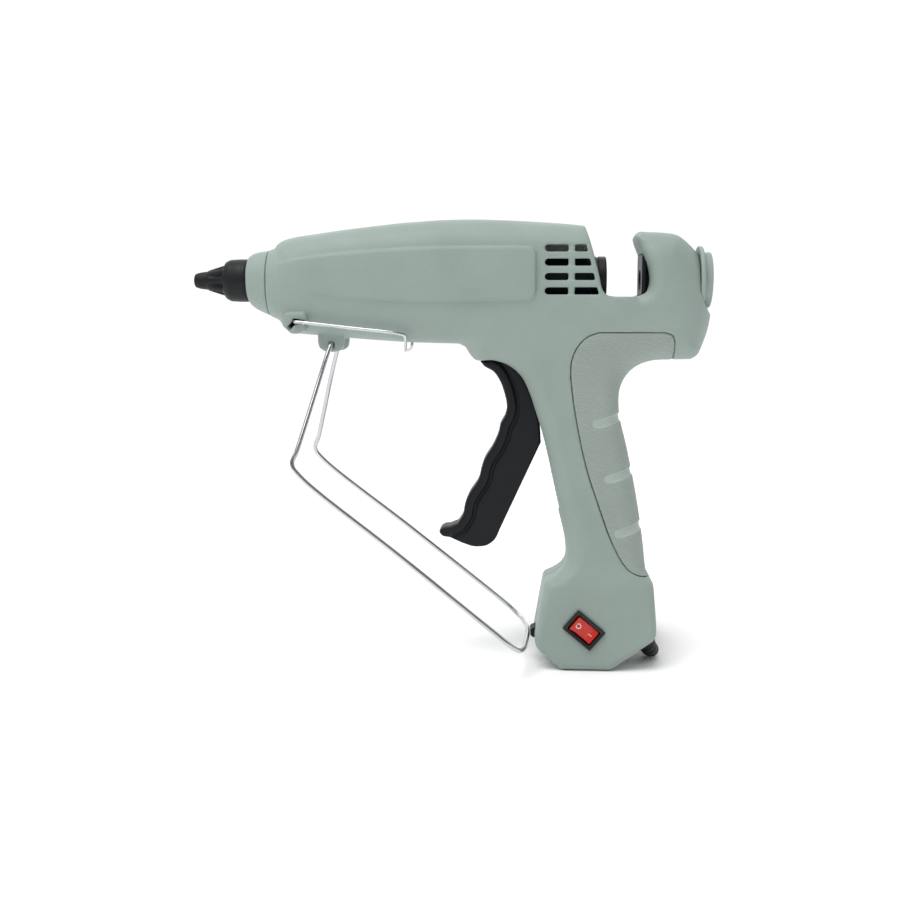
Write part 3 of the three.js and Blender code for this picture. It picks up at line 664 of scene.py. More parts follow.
def drop_crumbs(made, least=400):
    """Removes loose islands with fewer faces than least."""
    bm = bmesh.new()
    bm.from_mesh(made.data)
    seen, doomed = set(), []
    for start in bm.verts:
        if start.index in seen:
            continue
        seen.add(start.index)
        island, edge = [start], [start]
        while edge:
            vert = edge.pop()
            for link in vert.link_edges:
                other = link.other_vert(vert)
                if other.index not in seen:
                    seen.add(other.index)
                    island.append(other)
                    edge.append(other)
        if len(island) < least:
            doomed += island
    bmesh.ops.delete(bm, geom=doomed, context="VERTS")
    bm.to_mesh(made.data)
    bm.free()
    made.data.shade_smooth()


THUMB_MARKS = [((12.5, 157.7), (-1.6, 153.9)), ((19.6, 124.1), (6.25, 120.0)), ((26.6, 90.4), (12.9, 86.1))]


def thumb_marks(space):
    """How deep the three smooth grooves are that run in from the back of the grip."""
    deep = np.zeros(np.broadcast(space.x, space.z).shape, np.float32)
    for (xa, za), (xb, zb) in THUMB_MARKS:
        length = math.hypot(xb - xa, zb - za)
        ux, uz = (xb - xa) / length, (zb - za) / length
        along = (space.x - xa) * ux + (space.z - za) * uz
        t = np.clip(along, -12, length)
        away = np.hypot(space.x - xa - ux * t, space.z - za - uz * t)
        ramp = 1 - 0.85 * step_up(along, length - 5, length + 1.5)
        deep = np.maximum(deep, 0.85 * ramp * (1 - step_up(away, 1.9, 3.0)))
    return deep


def smooth_the_marks(made, material):
    """Gives the faces in the thumb grooves their own material, which has no ribs and a lighter colour that is
    a painted highlight.
    """
    faces = made.data.polygons
    centres = np.empty(3 * len(faces), np.float32)
    faces.foreach_get("center", centres)
    x, _, z = centres.reshape(-1, 3).T / MM
    in_mark = thumb_marks(SimpleNamespace(x=x, z=z)) > 0.08
    made.data.materials.append(material)
    faces.foreach_set("material_index", in_mark.astype(np.int32))


def grip_panel(side, materials):
    """The soft panel let into one side of the handle, with three shallow thumb grooves at its back."""
    y0, y1 = (-27.5, 0.8) if side < 0 else (-0.8, 27.5)
    space = Space((-20, y0, 56), (48, y1, 213), 0.5)
    outer = barrel_and_handle(space)
    panel = np.maximum(outer + 0.05 + thumb_marks(space), -(outer + PANEL_DEPTH))
    panel = smooth_max(panel, grip_area(space), 1.2)
    panel = np.maximum(panel, side * -space.y + SPLIT)
    name = "left_grip_skin" if side < 0 else "right_grip_skin"
    made = space.skin(panel, name, materials["grip"], MOST_FACES)
    drop_crumbs(made, 60)
    smooth_the_marks(made, materials["grip_smooth_painted_highlight"])
    return stands_for(made, "housing", "grip", "left_grip_panel" if side < 0 else "right_grip_panel")


# ---- Switch --------------------------------------------------------------------------------------

SWITCH_AT = Vector((-7.5, -23.5, 26.3))
SWITCH_TURN = math.radians(40)
ROCKER_TILT = math.radians(8)
SWITCH_MATRIX = Matrix.Translation(SWITCH_AT * MM) @ Matrix.Rotation(SWITCH_TURN, 4, "Y")


def switch_hole(space):
    """The recess that the switch's body goes into."""
    c, s = math.cos(SWITCH_TURN), math.sin(SWITCH_TURN)
    dx, dz = space.x - SWITCH_AT.x, space.z - SWITCH_AT.z
    u, w = dx * c - dz * s, dx * s + dz * c
    return np.maximum(np.maximum(np.abs(u) - 9.9, np.abs(w) - 6.9), np.abs(space.y + 19) - 10)


def place_mesh(made, matrix):
    made.data.transform(matrix)
    return made


def switch_parts(materials):
    """The glossy bezel and the rocker, made lying along X with their faces towards -Y."""
    space = Space((-12, -3, -8.5), (12, 15, 8.5), 0.3)
    bezel = box_distance(space, (-11.1, -1.9, -7.6), (11.1, -0.3, 7.6), 0.5)
    body = box_distance(space, (-9.6, -1, -6.6), (9.6, 13.7, 6.6), 0.3)
    window = box_distance(space, (-8.7, -6, -5.4), (8.7, 10, 5.4), 0.4)
    lip = box_distance(space, (-9.9, -3, -6.5), (9.9, -1.45, 6.5), 0.3)
    frame_field = smooth_max(np.minimum(bezel, body), -window, 0.5)
    frame_field = smooth_max(frame_field, -lip, 0.3)
    bezel_skin = space.skin(frame_field, "switch_bezel", materials["switch_black"])
    stands_for(place_mesh(bezel_skin, SWITCH_MATRIX), "housing", "switch_black", "switch_frame")

    space = Space((-9.5, -3.2, -5.6), (9.5, 8.5, 5.6), 0.22)
    sag = -1.6 + 2.4 * (1 - (space.x / 8.0) ** 2)
    face = np.maximum((np.minimum(sag, 0.45) - space.y) * 0.85, space.y - 7.2 + 0.19 * np.abs(space.x))
    ends = np.abs(space.x) - 8.15 + 0.16 * (space.y + 1.6)
    rocker = smooth_max(smooth_max(face, ends, 0.5), np.abs(space.z) - 4.95, 0.7)
    rocker_skin = space.skin(rocker, "rocker_skin", materials["switch_red"])
    tilt = Matrix.Rotation(ROCKER_TILT, 4, "Z")
    place_mesh(rocker_skin, SWITCH_MATRIX @ tilt)
    stands_for(rocker_skin, "rocker", "switch_red", "switch_rocker")

    off_at, on_at = Vector((-4.6, -0.72, 0.0)), Vector((4.8, -0.72, 0.0))
    ring = torus_mark("rocker_off_mark", off_at, 1.45, 0.26, materials["mark_white"])
    space = Space((2.4, -1.6, -0.6), (7.2, 0.6, 0.6), 0.12)
    dash = space.skin(box_distance(space, (3.3, -1.0, -0.22), (6.3, -0.2, 0.22), 0.1), "rocker_on_mark",
                      materials["mark_white"])
    for mark, centre, lean in ((ring, off_at, 11.0), (dash, on_at, -12.0)):
        turn = (Matrix.Translation(centre * MM) @ Matrix.Rotation(math.radians(-lean), 4, "Z")
                @ Matrix.Translation(-centre * MM))
        stands_for(place_mesh(mark, SWITCH_MATRIX @ tilt @ turn), "rocker", "switch_red")


def torus_mark(name, centre, major, minor, material, count=48, sides=10):
    """A flat ring lying in the XZ plane."""
    vertices, faces = [], []
    for i in range(count):
        a = 2 * math.pi * i / count
        for j in range(sides):
            b = 2 * math.pi * j / sides
            r = major + minor * math.cos(b)
            vertices.append((centre[0] + r * math.cos(a), centre[1] + 0.5 * minor * math.sin(b),
                             centre[2] + r * math.sin(a)))
            faces.append((i * sides + j, i * sides + (j + 1) % sides,
                          (i + 1) % count * sides + (j + 1) % sides, (i + 1) % count * sides + j))
    return new_object(name, vertices, faces, material)


# ---- Turned and swept pieces ---------------------------------------------------------------------


def turned(name, profile, material, count=96, radius_at=None, closed=False):
    """A solid of revolution about the feed line from (x, radius) pairs, open profiles ending on the axis."""
    vertices, faces, rings = [], [], []
    for x, r in profile:
        if r < 1e-6:
            rings.append([len(vertices)])
            vertices.append((x, 0.0, FEED_Z))
            continue
        ring = []
        for i in range(count):
            a = 2 * math.pi * i / count
            reach = radius_at(x, r, a) if radius_at else r
            ring.append(len(vertices))
            vertices.append((x, reach * math.cos(a), FEED_Z + reach * math.sin(a)))
        rings.append(ring)
    pairs = list(zip(rings, rings[1:]))
    if closed:
        pairs.append((rings[-1], rings[0]))
    for first, second in pairs:
        for i in range(count):
            j = (i + 1) % count
            if len(first) == 1:
                faces.append((first[0], second[i], second[j]))
            elif len(second) == 1:
                faces.append((first[i], second[0], first[j]))
            else:
                faces.append((first[i], second[i], second[j], first[j]))
    made = new_object(name, vertices, faces, material)
    outward(made)
    return made


def outward(made):
    """Turns every face to point out."""
    bm = bmesh.new()
    bm.from_mesh(made.data)
    bmesh.ops.recalc_face_normals(bm, faces=bm.faces)
    bm.to_mesh(made.data)
    bm.free()


def soften(points, radius, steps=4):
    """Rounds the corners of a closed or open line of 2-D points."""
    made = [points[0]]
    for a, b, c in zip(points, points[1:], points[2:]):
        a, b, c = (np.array(p, float) for p in (a, b, c))
        to_a, to_c = a - b, c - b
        la, lc = np.linalg.norm(to_a), np.linalg.norm(to_c)
        r = min(radius, la * 0.45, lc * 0.45)
        p, q = b + to_a / la * r, b + to_c / lc * r
        for i in range(steps + 1):
            t = i / steps
            made.append(tuple((1 - t) ** 2 * p + 2 * t * (1 - t) * b + t * t * q))
    made.append(points[-1])
    return made


def frames_along(path):
    """A smoothly turning pair of side vectors at each point of a path."""
    pts = [Vector(p) for p in path]
    tangents = [(pts[min(i + 1, len(pts) - 1)] - pts[max(i - 1, 0)]).normalized() for i in range(len(pts))]
    side = tangents[0].orthogonal().normalized()
    made = []
    for tangent in tangents:
        side = (side - tangent * side.dot(tangent)).normalized()
        made.append((side, tangent.cross(side)))
    return pts, tangents, made


def swept(name, path, radius_at, material, count=20):
    """A round bar with domed ends along a path of points in millimetres.

    radius_at(share of the length, angle round the bar) is its radius.
    """
    pts, tangents, sides = frames_along(path)
    lengths = [0.0]
    for a, b in zip(pts, pts[1:]):
        lengths.append(lengths[-1] + (b - a).length)
    vertices, rings = [], []

    def ring(centre, pair, share, scale):
        rings.append(len(vertices))
        for i in range(count):
            a = 2 * math.pi * i / count
            reach = radius_at(share, a) * scale
            vertices.append(tuple(centre + pair[0] * (reach * math.cos(a)) + pair[1] * (reach * math.sin(a))))

    def dome(end, share, inward, order):
        for k in order:
            rise = math.sin(math.pi / 8 * k)
            ring(pts[end] + inward * (radius_at(share, 0) * 0.5 * (1 - rise)), sides[end], share, rise)

    dome(0, 0, tangents[0], (1, 2, 3))
    margin = radius_at(0, 0) * 0.5
    for point, pair, length in zip(pts, sides, lengths):
        if margin < length < lengths[-1] - margin:
            ring(point, pair, length / lengths[-1], 1.0)
    dome(-1, 1, -tangents[-1], (3, 2, 1))
    faces = [tuple(rings[0] + i for i in reversed(range(count))), tuple(rings[-1] + i for i in range(count))]
    for a, b in zip(rings, rings[1:]):
        for i in range(count):
            j = (i + 1) % count
            faces.append((a + i, a + j, b + j, b + i))
    made = new_object(name, vertices, faces, material)
    outward(made)
    return made


# ---- Hot end -------------------------------------------------------------------------------------

FLUTES = 8
NOSE_X = -218.0


def boot_radius(x, r, angle):
    """The nozzle boot's radius: its cone is fluted lengthwise between two places."""
    depth = 1.9 * step_up(np.float64(x), -244.2, -236.0) * (1 - step_up(np.float64(x), -233.2, -232.4))
    if r < 4 or depth == 0 or x < -245 or x > -232:
        return r
    groove = 0.5 + 0.5 * math.cos(FLUTES * (angle - math.pi / 2) + math.pi)
    return r - float(depth) * groove ** 3


def hot_end(materials):
    """The fluted rubber sleeve and the brass tip that shows in its mouth."""
    outside = soften([(-252.4, 3.5), (-252.0, 4.2), (-249.6, 5.0), (-244.2, 5.75), (-243.6, 6.3),
                      (-233.4, 9.5), (-232.2, 11.5), (-229.4, 12.9), (-224, 13.2), (-219, 13.25),
                      (-218.4, 12.9), (-205.4, 12.9)], 0.7)
    cone = [(-243.4 + 0.5 * i, 6.36 + 0.157 * i) for i in range(20)]
    outside = sorted([p for p in outside if not -243.5 < p[0] < -233.5] + cone)
    inside = [(-205.4, 10.6), (-222, 10.6), (-222, 6.7), (-236.2, 6.7), (-243, 4.9), (-252.2, 3.5)]
    boot = turned("nozzle_boot_skin", outside + inside, materials["rubber"], 128, boot_radius, closed=True)
    stands_for(boot, "housing", "rubber", "nozzle_boot")
    tip = soften([(-252.9, 1.3), (-252.9, 2.6), (-252.3, 3.2), (-243, 4.3), (-236, 6.2), (-226, 6.2),
                  (-226, 4.6), (-216.5, 4.6), (-216.5, 2.6), (-240, 2.6), (-246, 1.3)], 0.25)
    stands_for(turned("nozzle_tip", tip, materials["brass"], 64, closed=True), "housing", "brass", "nozzle")


def nose_cap(materials):
    """The short tapered cap in front of the housing, round in front and taller behind."""
    space = Space((-219.5, -21, 215), (-198.5, 21, 265), 0.45)
    low = table_of([(-222, 229), (-218, 227.3), (-213, 223.6), (-204, 219.3), (-195, 215)], space.x)
    high = table_of([(-222, 255), (-218, 256.6), (-213, 258.8), (-204, 260.4), (-195, 262)], space.x)
    half = table_of([(-222, 14), (-218, 15.4), (-213, 17.3), (-204, 19.5), (-195, 21)], space.x)
    up = (space.z - (low + high) / 2) / ((high - low) / 2)
    round_off = (np.abs(space.y / half) ** 2.15 + np.abs(up) ** 2.15) ** (1 / 2.15)
    side = (round_off - 1) * (high - low) / 2 * 0.97
    ends = np.maximum(NOSE_X - space.x, space.x + 204.35)
    cap = smooth_max(side, ends, 0.9)
    front = smooth_max(side, NOSE_X - space.x, 3.4)
    cap = smooth_max(cap, front, 0.5)
    lip = np.maximum(np.abs(np.hypot(space.y, space.z - FEED_Z) - 15.8) - 0.8, np.abs(space.x + 202.7) - 3.3)
    field = np.minimum(cap, lip)
    hole = rod_distance(space, -240, -190, 13.45, FEED_Z)
    field = smooth_max(field, -hole, 0.9)
    made = space.skin(field, "nose_cap_skin", materials["housing"], MOST_FACES)
    stands_for(made, "housing", "housing", "nose_cap")


# ---- Trigger and feed ----------------------------------------------------------------------------

LINK_PIN = (TRIGGER_PIVOT[0], TRIGGER_PIVOT[1] + 26)
TRIGGER_FRONT = [(-72.7, 191.8), (-69.8, 188.6), (-64.5, 185.6), (-60.3, 179.6), (-57.4, 171.6), (-56, 164),
                 (-56.9, 158.8), (-60, 152.6), (-61.1, 147.4), (-64.4, 139.6), (-69.5, 131.4), (-71.6, 125.6),
                 (-73.6, 117.8), (-79, 109.4), (-81.9, 102.6), (-83.3, 95.6), (-86.6, 90.0)]
TRIGGER_HOOK = [(-91.8, 87.9), (-95.9, 87.2), (-98.2, 84.4), (-96.2, 81.7), (-92.8, 81)]
TRIGGER_FOOT = [(-84.4, 77.2), (-76.5, 74.8), (-68.4, 75.6), (-63.2, 79.6), (-59.9, 86.6)]
TRIGGER_BACK = [(-34.8, 141.5), (-36.5, 158.6), (-44.5, 180), (-50, 191), (-53, 194)]


def trigger(materials):
    space = Space((-99.5, -9.4, 73.5), (-33.5, 9.4, 229.5), 0.5)
    edge = outline(TRIGGER_FRONT, TRIGGER_HOOK)
    flat = outline_distance(space.x, space.z, edge + outline(TRIGGER_FOOT, TRIGGER_BACK))
    front = line_distance(space.x, space.z, edge[:-12])
    flange = rounded_slab(np.maximum(flat, front - 5.7), np.abs(space.y) - 9.0, 1.5)
    blade = rounded_slab(flat, np.abs(space.y) - 7.4, 1.6)
    groove = np.maximum(np.abs(front - 6.9) - 0.7, 6.6 - np.abs(space.y))
    field = smooth_min(flange, blade, 0.9)
    field = smooth_max(field, -groove, 0.9)
    hub = pin_distance(space, TRIGGER_PIVOT, 6, -9, 9, 0.5)
    arm = np.maximum(outline_distance(space.x, space.z, [(-64.5, 188), (-53, 188), (-54, 224), (-63.6, 224)]),
                     np.abs(space.y) - 4)
    eye = pin_distance(space, LINK_PIN, 4.8, -4, 4, 0.4)
    field = smooth_min(smooth_min(field, hub, 1.0), smooth_min(arm, eye, 1.0), 1.0)
    holes = np.minimum(pin_distance(space, TRIGGER_PIVOT, 2.7, -20, 20),
                       pin_distance(space, LINK_PIN, 2.2, -20, 20))
    field = smooth_max(field, -holes, 0.4)
    made = space.skin(field, "trigger_skin", materials["black_plastic"], MOST_FACES)
    stands_for(made, "trigger", "black_plastic", "trigger")


def line_distance(px, pz, points):
    """Distance in the XZ plane to an open line."""
    best = np.full(np.broadcast(px, pz).shape, 1e9, np.float32)
    for (ax, az), (bx, bz) in zip(points, points[1:]):
        ex, ez = bx - ax, bz - az
        t = np.clip(((px - ax) * ex + (pz - az) * ez) / max(ex * ex + ez * ez, 1e-9), 0, 1)
        best = np.minimum(best, (px - ax - ex * t) ** 2 + (pz - az - ez * t) ** 2)
    return np.sqrt(best)


def feed(materials):
    """The carriage that grips the stick, the guide behind the notch and the collar at the inlet."""
    space = Space((-37, -15.5, 217), (5, 15.5, 257), 0.4)
    body = rod_distance(space, -36, 4, 14.5, FEED_Z, 0.8)
    for x in (-6.5, -1.5):
        band = np.maximum(np.abs(space.x - x) - 0.55, 13.9 - np.hypot(space.y, space.z - FEED_Z))
        body = smooth_max(body, -band, 0.4)
    pin = (LINK_PIN[0] + 30, LINK_PIN[1])
    lug = box_distance(space, (pin[0] - 5, -4, pin[1] - 5.6), (pin[0] + 5, 4, FEED_Z - 10), 0.8)
    field = smooth_min(body, lug, 0.8)
    slot = np.hypot(space.x - pin[0], np.maximum(np.abs(space.z - pin[1] + 0.5) - 0.9, 0)) - 2.4
    window = box_distance(space, (-29, -5.5, FEED_Z), (-16, 5.5, FEED_Z + 20), 0.5)
    bore = rod_distance(space, -60, 30, 6.2, FEED_Z)
    field = smooth_max(field, -np.minimum(np.minimum(slot, window), bore), 0.5)
    made = space.skin(field, "feed_carriage_skin", materials["black_plastic"], MOST_FACES)
    stands_for(made, "carriage", "black_plastic", "feed_carriage")

    space = Space((24, -15.8, 231), (60, 15.8, 258), 0.4)
    flange = box_distance(space, (24.9, -15, 232), (27.5, 15, 257), 1.0)
    guide = smooth_min(flange, rod_distance(space, 26, 59.2, 11, FEED_Z, 0.5), 1.2)
    guide = smooth_max(guide, -rod_distance(space, 10, 70, 6.4, FEED_Z), 0.8)
    made = space.skin(guide, "stick_guide_skin", materials["black_plastic"], MOST_FACES)
    stands_for(made, "housing", "black_plastic", "stick_guide")

    profile = soften([(59.9, 6.6), (59.9, 20.6), (62.4, 20.6), (62.9, 16.9), (67.6, 16.9), (67.6, 10.2),
                      (67.1, 9.5), (64.6, 6.6), (62, 6.6)], 0.7)
    collar = turned("inlet_collar_skin", profile, materials["housing"], 96, closed=True)
    stands_for(collar, "housing", "housing", "inlet_collar")


def spring_turns(name, centre, radius, wire_radius, y0, y1, turns, leg, material):
    """A torsion spring along Y with two straight legs in the XZ plane."""
    path = [(centre[0] + radius, y0, centre[1] - leg)]
    count = int(turns * 24)
    for i in range(count + 1):
        a = 2 * math.pi * i / 24
        path.append((centre[0] + radius * math.cos(a), y0 + (y1 - y0) * i / count,
                     centre[1] + radius * math.sin(a)))
    path.append((path[-1][0] + leg * 0.4, y1, centre[1] - leg))
    return swept(name, path, lambda share, angle: wire_radius, material, 10)


# ---- Wires and clip ------------------------------------------------------------------------------


def wire_path(half):
    """A smooth path through half of a symmetrical wire's points and their mirror image."""
    mirror = [(x, -y, z) for x, y, z in reversed(half) if y > 0]
    return [tuple(p) for p in curve_through(half + mirror, 14)]


def wires(materials):
    """The stand, the hanging bail and the clip that holds the stand's foot."""
    stand = [
        (-164.5, 8, 202), (-164.5, 13, 202), (-164.5, 16.4, 202), (-165.8, 18.8, 198), (-171, 24, 180),
        (-182.2, 39, 139.5), (-185, 41.4, 131), (-180.2, 42.4, 124), (-121, 44.5, 77), (-63, 46.5, 30.5),
        (-53.5, 46.2, 22.6), (-48, 42.4, 18.2), (-45, 34, 17), (-43.6, 22, 17.6), (-42.4, 8, 18.8),
        (-42.3, 0, 19.2),
    ]
    made = swept("stand_wire_skin", wire_path(stand), lambda share, angle: 1.5, materials["wire"])
    stands_for(made, "stand", "wire", "stand_wire")
    bail = [
        (-185, 20.5, 216.5), (-185, 24.5, 216.5), (-184.4, 27.6, 216.2), (-181, 28, 216), (-150, 27.6, 212.6),
        (-121, 27, 209.2), (-118, 26, 208), (-117.6, 24, 204.5), (-118, 20, 199.6), (-118.4, 15, 198.4),
        (-118.6, 0, 198),
    ]
    made = swept("hanging_bail_skin", wire_path(bail), lambda share, angle: 1.0, materials["wire"], 16)
    stands_for(made, "bail", "wire", "hanging_bail")

    space = Space((-42, -6.5, 15), (-33.5, 6.5, 23.8), 0.2)
    clip = pin_distance(space, CLIP_AT, 3.3, -5.7, 5.7, 0.5)
    groove = np.minimum(np.hypot(space.x + 42.3, space.z - 19.2) - 2.0,
                        np.maximum(np.abs(space.z - 19.2) - 1.8, space.x + 42.3)) + 0 * space.y
    made = space.skin(smooth_max(clip, -groove, 0.4), "stand_clip_skin", materials["rubber"])
    stands_for(made, "housing", "rubber", "stand_clip")


# ---- Screws --------------------------------------------------------------------------------------


def screws(materials):
    """Pan-head screws with a cross recess, in the far half's counterbores."""
    space = Space((-3.6, -13.4, -3.6), (3.6, 17.2, 3.6), 0.2)
    flat = np.hypot(space.x, space.z)
    head = rounded_slab(flat - 3.1, np.abs(space.y - 15.45) - 1.15, 0.6)
    pitch = 1.1
    thread = 0.16 * np.cos(2 * math.pi * space.y / pitch + np.arctan2(space.z, space.x))
    shank = np.maximum(flat - 1.4 - thread, np.abs(space.y - 1) - 14)
    point = np.maximum(flat - (space.y + 13.4) * 0.8, -13 - space.y)
    shank = np.maximum(shank, point)
    arms = np.minimum(np.maximum(np.abs(space.x) - 0.42, np.abs(space.z) - 1.65),
                      np.maximum(np.abs(space.z) - 0.42, np.abs(space.x) - 1.65))
    recess = np.maximum(arms, 15.5 + 0.35 * flat - space.y)
    field = smooth_max(np.minimum(head, shank), -recess, 0.15)
    pattern = space.skin(field, "screw_pattern", materials["steel"], 16_000)
    for name, (x, z) in SCREWS.items():
        mesh = pattern.data.copy()
        mesh.materials.clear()
        mesh.transform(Matrix.Translation((x * MM, 0, z * MM)))
        made = from_mesh(f"{name}_screw_skin", mesh, materials["steel"])
        stands_for(made, "housing", "steel", f"screw_{name}")
    bpy.data.objects.remove(pattern)


# ---- Cord ----------------------------------------------------------------------------------------

CORD_RADIUS = 3.25
BOOT_BEND = 14.1
BOOT_END_HEADING = Vector((0.0, 1.0, 0.0))
COIL_AT = (3.5, 66.0)
COIL_MIDDLE = 32.5
COIL_LAYERS = 4
TURN_STEPS = 36
TAIL_Z = 30.0
PLUG_AT = Vector((-3.0, 39.4, TAIL_Z + 3.5))
PLUG_LENGTH = 26.0
ROUTE = [
    (38.9, 21, 4), (39.5, 27, 3.6), (40, 33, 3.45), (40.3, 39, 3.45), (40.3, 45, 3.45), (40, 51, 3.45),
    (39.6, 57, 3.45),
]
# Degrees round the coil, distance from its middle and height, where the cord climbs to its last stretch.
CLIMB = [(50, 35.7, TAIL_Z - 6.1), (66, 35.5, TAIL_Z - 4.1), (81, 35, TAIL_Z - 2), (94, 34.2, TAIL_Z - 0.6)]
TAIL = [
    (-6.7, 97.4, TAIL_Z), (-15.4, 93, TAIL_Z), (-22.5, 86.3, TAIL_Z), (-27.5, 77.3, TAIL_Z),
    (-29.5, 67.2, TAIL_Z), (-27.9, 56.7, TAIL_Z + 0.3), (-23.3, 48.7, TAIL_Z + 1.1),
    (-16.4, 42.9, TAIL_Z + 2.3), (-10.1, 40.3, TAIL_Z + 3.1), (PLUG_AT.x - 0.4, PLUG_AT.y, PLUG_AT.z),
]


def boot_path(steps):
    """Points along the bent cord boot, from inside the wall to its free end."""
    at, heading = boot_frame()
    turn = heading.angle(BOOT_END_HEADING)
    axis = heading.cross(BOOT_END_HEADING).normalized()
    points = [at - heading * 4, at.copy()]
    here = at.copy()
    for i in range(steps):
        turned_heading = Matrix.Rotation(turn * (i + 0.5) / steps, 3, axis) @ heading
        here = here + turned_heading * (BOOT_BEND * turn / steps)
        points.append(here.copy())
    return points


def coil_points():
    """The coil's turns: up the outer column, down the inner one and so on, wound counter-clockwise."""
    columns = [COIL_MIDDLE + CORD_RADIUS, COIL_MIDDLE - CORD_RADIUS]
    pitch = 2 * CORD_RADIUS
    floors = [0.1 + CORD_RADIUS + pitch * i for i in range(COIL_LAYERS)]
    places = []
    for layer, z in enumerate(floors):
        order = columns if layer % 2 == 0 else columns[::-1]
        places += [(r, z) for r in order]
    points = []
    for turn, (r, z) in enumerate(places):
        after = places[min(turn + 1, len(places) - 1)]
        for i in range(TURN_STEPS):
            t = i / TURN_STEPS
            ease = float(step_up(np.float64(t), 0.72, 1.0))
            reach, height = r + (after[0] - r) * ease, z + (after[1] - z) * ease
            a = 2 * math.pi * (turn + t)
            points.append((COIL_AT[0] + reach * math.cos(a), COIL_AT[1] + reach * math.sin(a), height))
    return points


def cord_route():
    """The whole cord's centreline in millimetres, from the boot to the plug."""
    start = boot_path(8)[-1] + BOOT_END_HEADING * 0.9
    coil = coil_points()
    lead = curve_through([tuple(start), *ROUTE, coil[0]], 6)[:-1]
    wound = coil[:TURN_STEPS * (2 * COIL_LAYERS - 1) + 3]
    rise = []
    for degrees, reach, height in CLIMB:
        a = math.radians(degrees)
        rise.append((COIL_AT[0] + reach * math.cos(a), COIL_AT[1] + reach * math.sin(a), height))
    last = curve_through([*wound[-3:], *rise, *TAIL], 6)[13:]
    return [tuple(p) for p in (*lead, *wound, *last)]


def free_cord(materials):
    """The whole mains lead, as one curve with round sides."""
    route = cord_route()
    data = bpy.data.curves.new("mains_cord", "CURVE")
    data.dimensions = "3D"
    spline = data.splines.new("POLY")
    spline.points.add(len(route) - 1)
    for point, place in zip(spline.points, route):
        point.co = (*(c * MM for c in place), 1.0)
    data.bevel_depth = CORD_RADIUS * MM
    data.bevel_resolution = 5
    data.use_fill_caps = True
    cord = bpy.data.objects.new("mains_cord", data)
    bpy.context.scene.collection.objects.link(cord)
    data.materials.append(materials["cord"])
    spline.use_smooth = True
    stands_for(cord, "housing", "cord", "power_cord", "cord_coil", "cord_tail")
    return cord


def cord_boot(materials):
    """The ribbed, tapered strain relief."""
    path = [tuple(p) for p in curve_through([tuple(p) for p in boot_path(10)], 10)]

    def radius(share, angle):
        base = 6.3 - 1.75 * share
        wave = 0.5 + 0.5 * math.cos(2 * math.pi * (share * 8.5 - 1.2))
        ribs = 0.55 * wave ** 0.6 if 0.2 < share < 0.94 else 0.0
        return base - 0.75 * ribs * (1 + 0.25 * math.cos(2 * angle))

    boot = swept("cord_boot_skin", path, radius, materials["rubber"], 40)
    return stands_for(boot, "housing", "rubber", "cord_boot")


def plug(materials):
    """A flat two-blade plug, moulded on the cord's end."""
    x0, y0, z0 = PLUG_AT
    space = Space((x0 - 1, y0 - 12, z0 - 8), (x0 + PLUG_LENGTH + 1, y0 + 12, z0 + 8), 0.4)
    x, y, z = space.x - x0, space.y - y0, space.z - z0
    wide = table_of([(-3, 4.3), (4, 4.9), (8.5, 7.6), (13, 10.4), (18, 11), (28, 11)], x)
    tall = table_of([(-3, 4.3), (4, 4.7), (8.5, 5.8), (13, 6.8), (18, 7), (28, 7)], x)
    ring = ((np.abs(y / wide) ** 3 + np.abs(z / tall) ** 3) ** (1 / 3) - 1) * tall
    field = smooth_max(ring, np.maximum(0.1 - x, x - PLUG_LENGTH), 1.2)
    for at in (1.8, 3.8, 5.8):
        field = smooth_max(field, -(np.hypot(x - at, np.maximum(4.6 - np.hypot(y, z), 0)) - 0.5), 0.5)
    for i in range(4):
        ridge = np.hypot(x - 14.5 - 2.4 * i, np.abs(y) - 11.2) - 0.9
        field = smooth_max(field, -(ridge + 0 * z), 0.6)
    body = space.skin(field, "plug_body_skin", materials["cord"], MOST_FACES)
    made = [stands_for(body, "housing", "cord", "plug_body")]
    start = x0 + PLUG_LENGTH + 0.3
    end = start + 15.7
    for side, middle in (("near", y0 - 6.3), ("far", y0 + 6.3)):
        space = Space((start - 0.9, middle - 1.4, z0 - 3.8), (end + 0.7, middle + 1.4, z0 + 3.8), 0.2)
        blade = box_distance(space, (start, middle - 0.8, z0 - 3.1), (end, middle + 0.8, z0 + 3.1), 0.25)
        tip = np.maximum(space.x - end + 0.5 * np.maximum(np.abs(space.z - z0) - 1.5, 0), blade)
        hole = np.hypot(space.x - end + 3.5, space.z - z0) - 1.6 + 0 * space.y
        skin = space.skin(smooth_max(tip, -hole, 0.2), f"plug_blade_{side}_skin", materials["brass"])
        made.append(stands_for(skin, "housing", "brass", f"plug_blade_{side}"))
    return made


# ---- Inner parts that keep their CAD shape -------------------------------------------------------

KEPT = {
    "melt_chamber": "aluminium", "heater_cartridge": "steel", "front_cushion_ring": "silicone",
    "rear_cushion_ring": "silicone", "inlet_seal": "silicone", "trigger_pin": "steel",
    "clamp_jaw": "steel", "drive_link": "steel", "cord_clamp": "black_plastic",
}


def kept_nodes(materials):
    """Gives the CAD's own meshes their materials."""
    for name, look in KEPT.items():
        mesh = NODES[name].data
        mesh.materials.clear()
        mesh.materials.append(materials[look])


# ---- Stage ---------------------------------------------------------------------------------------


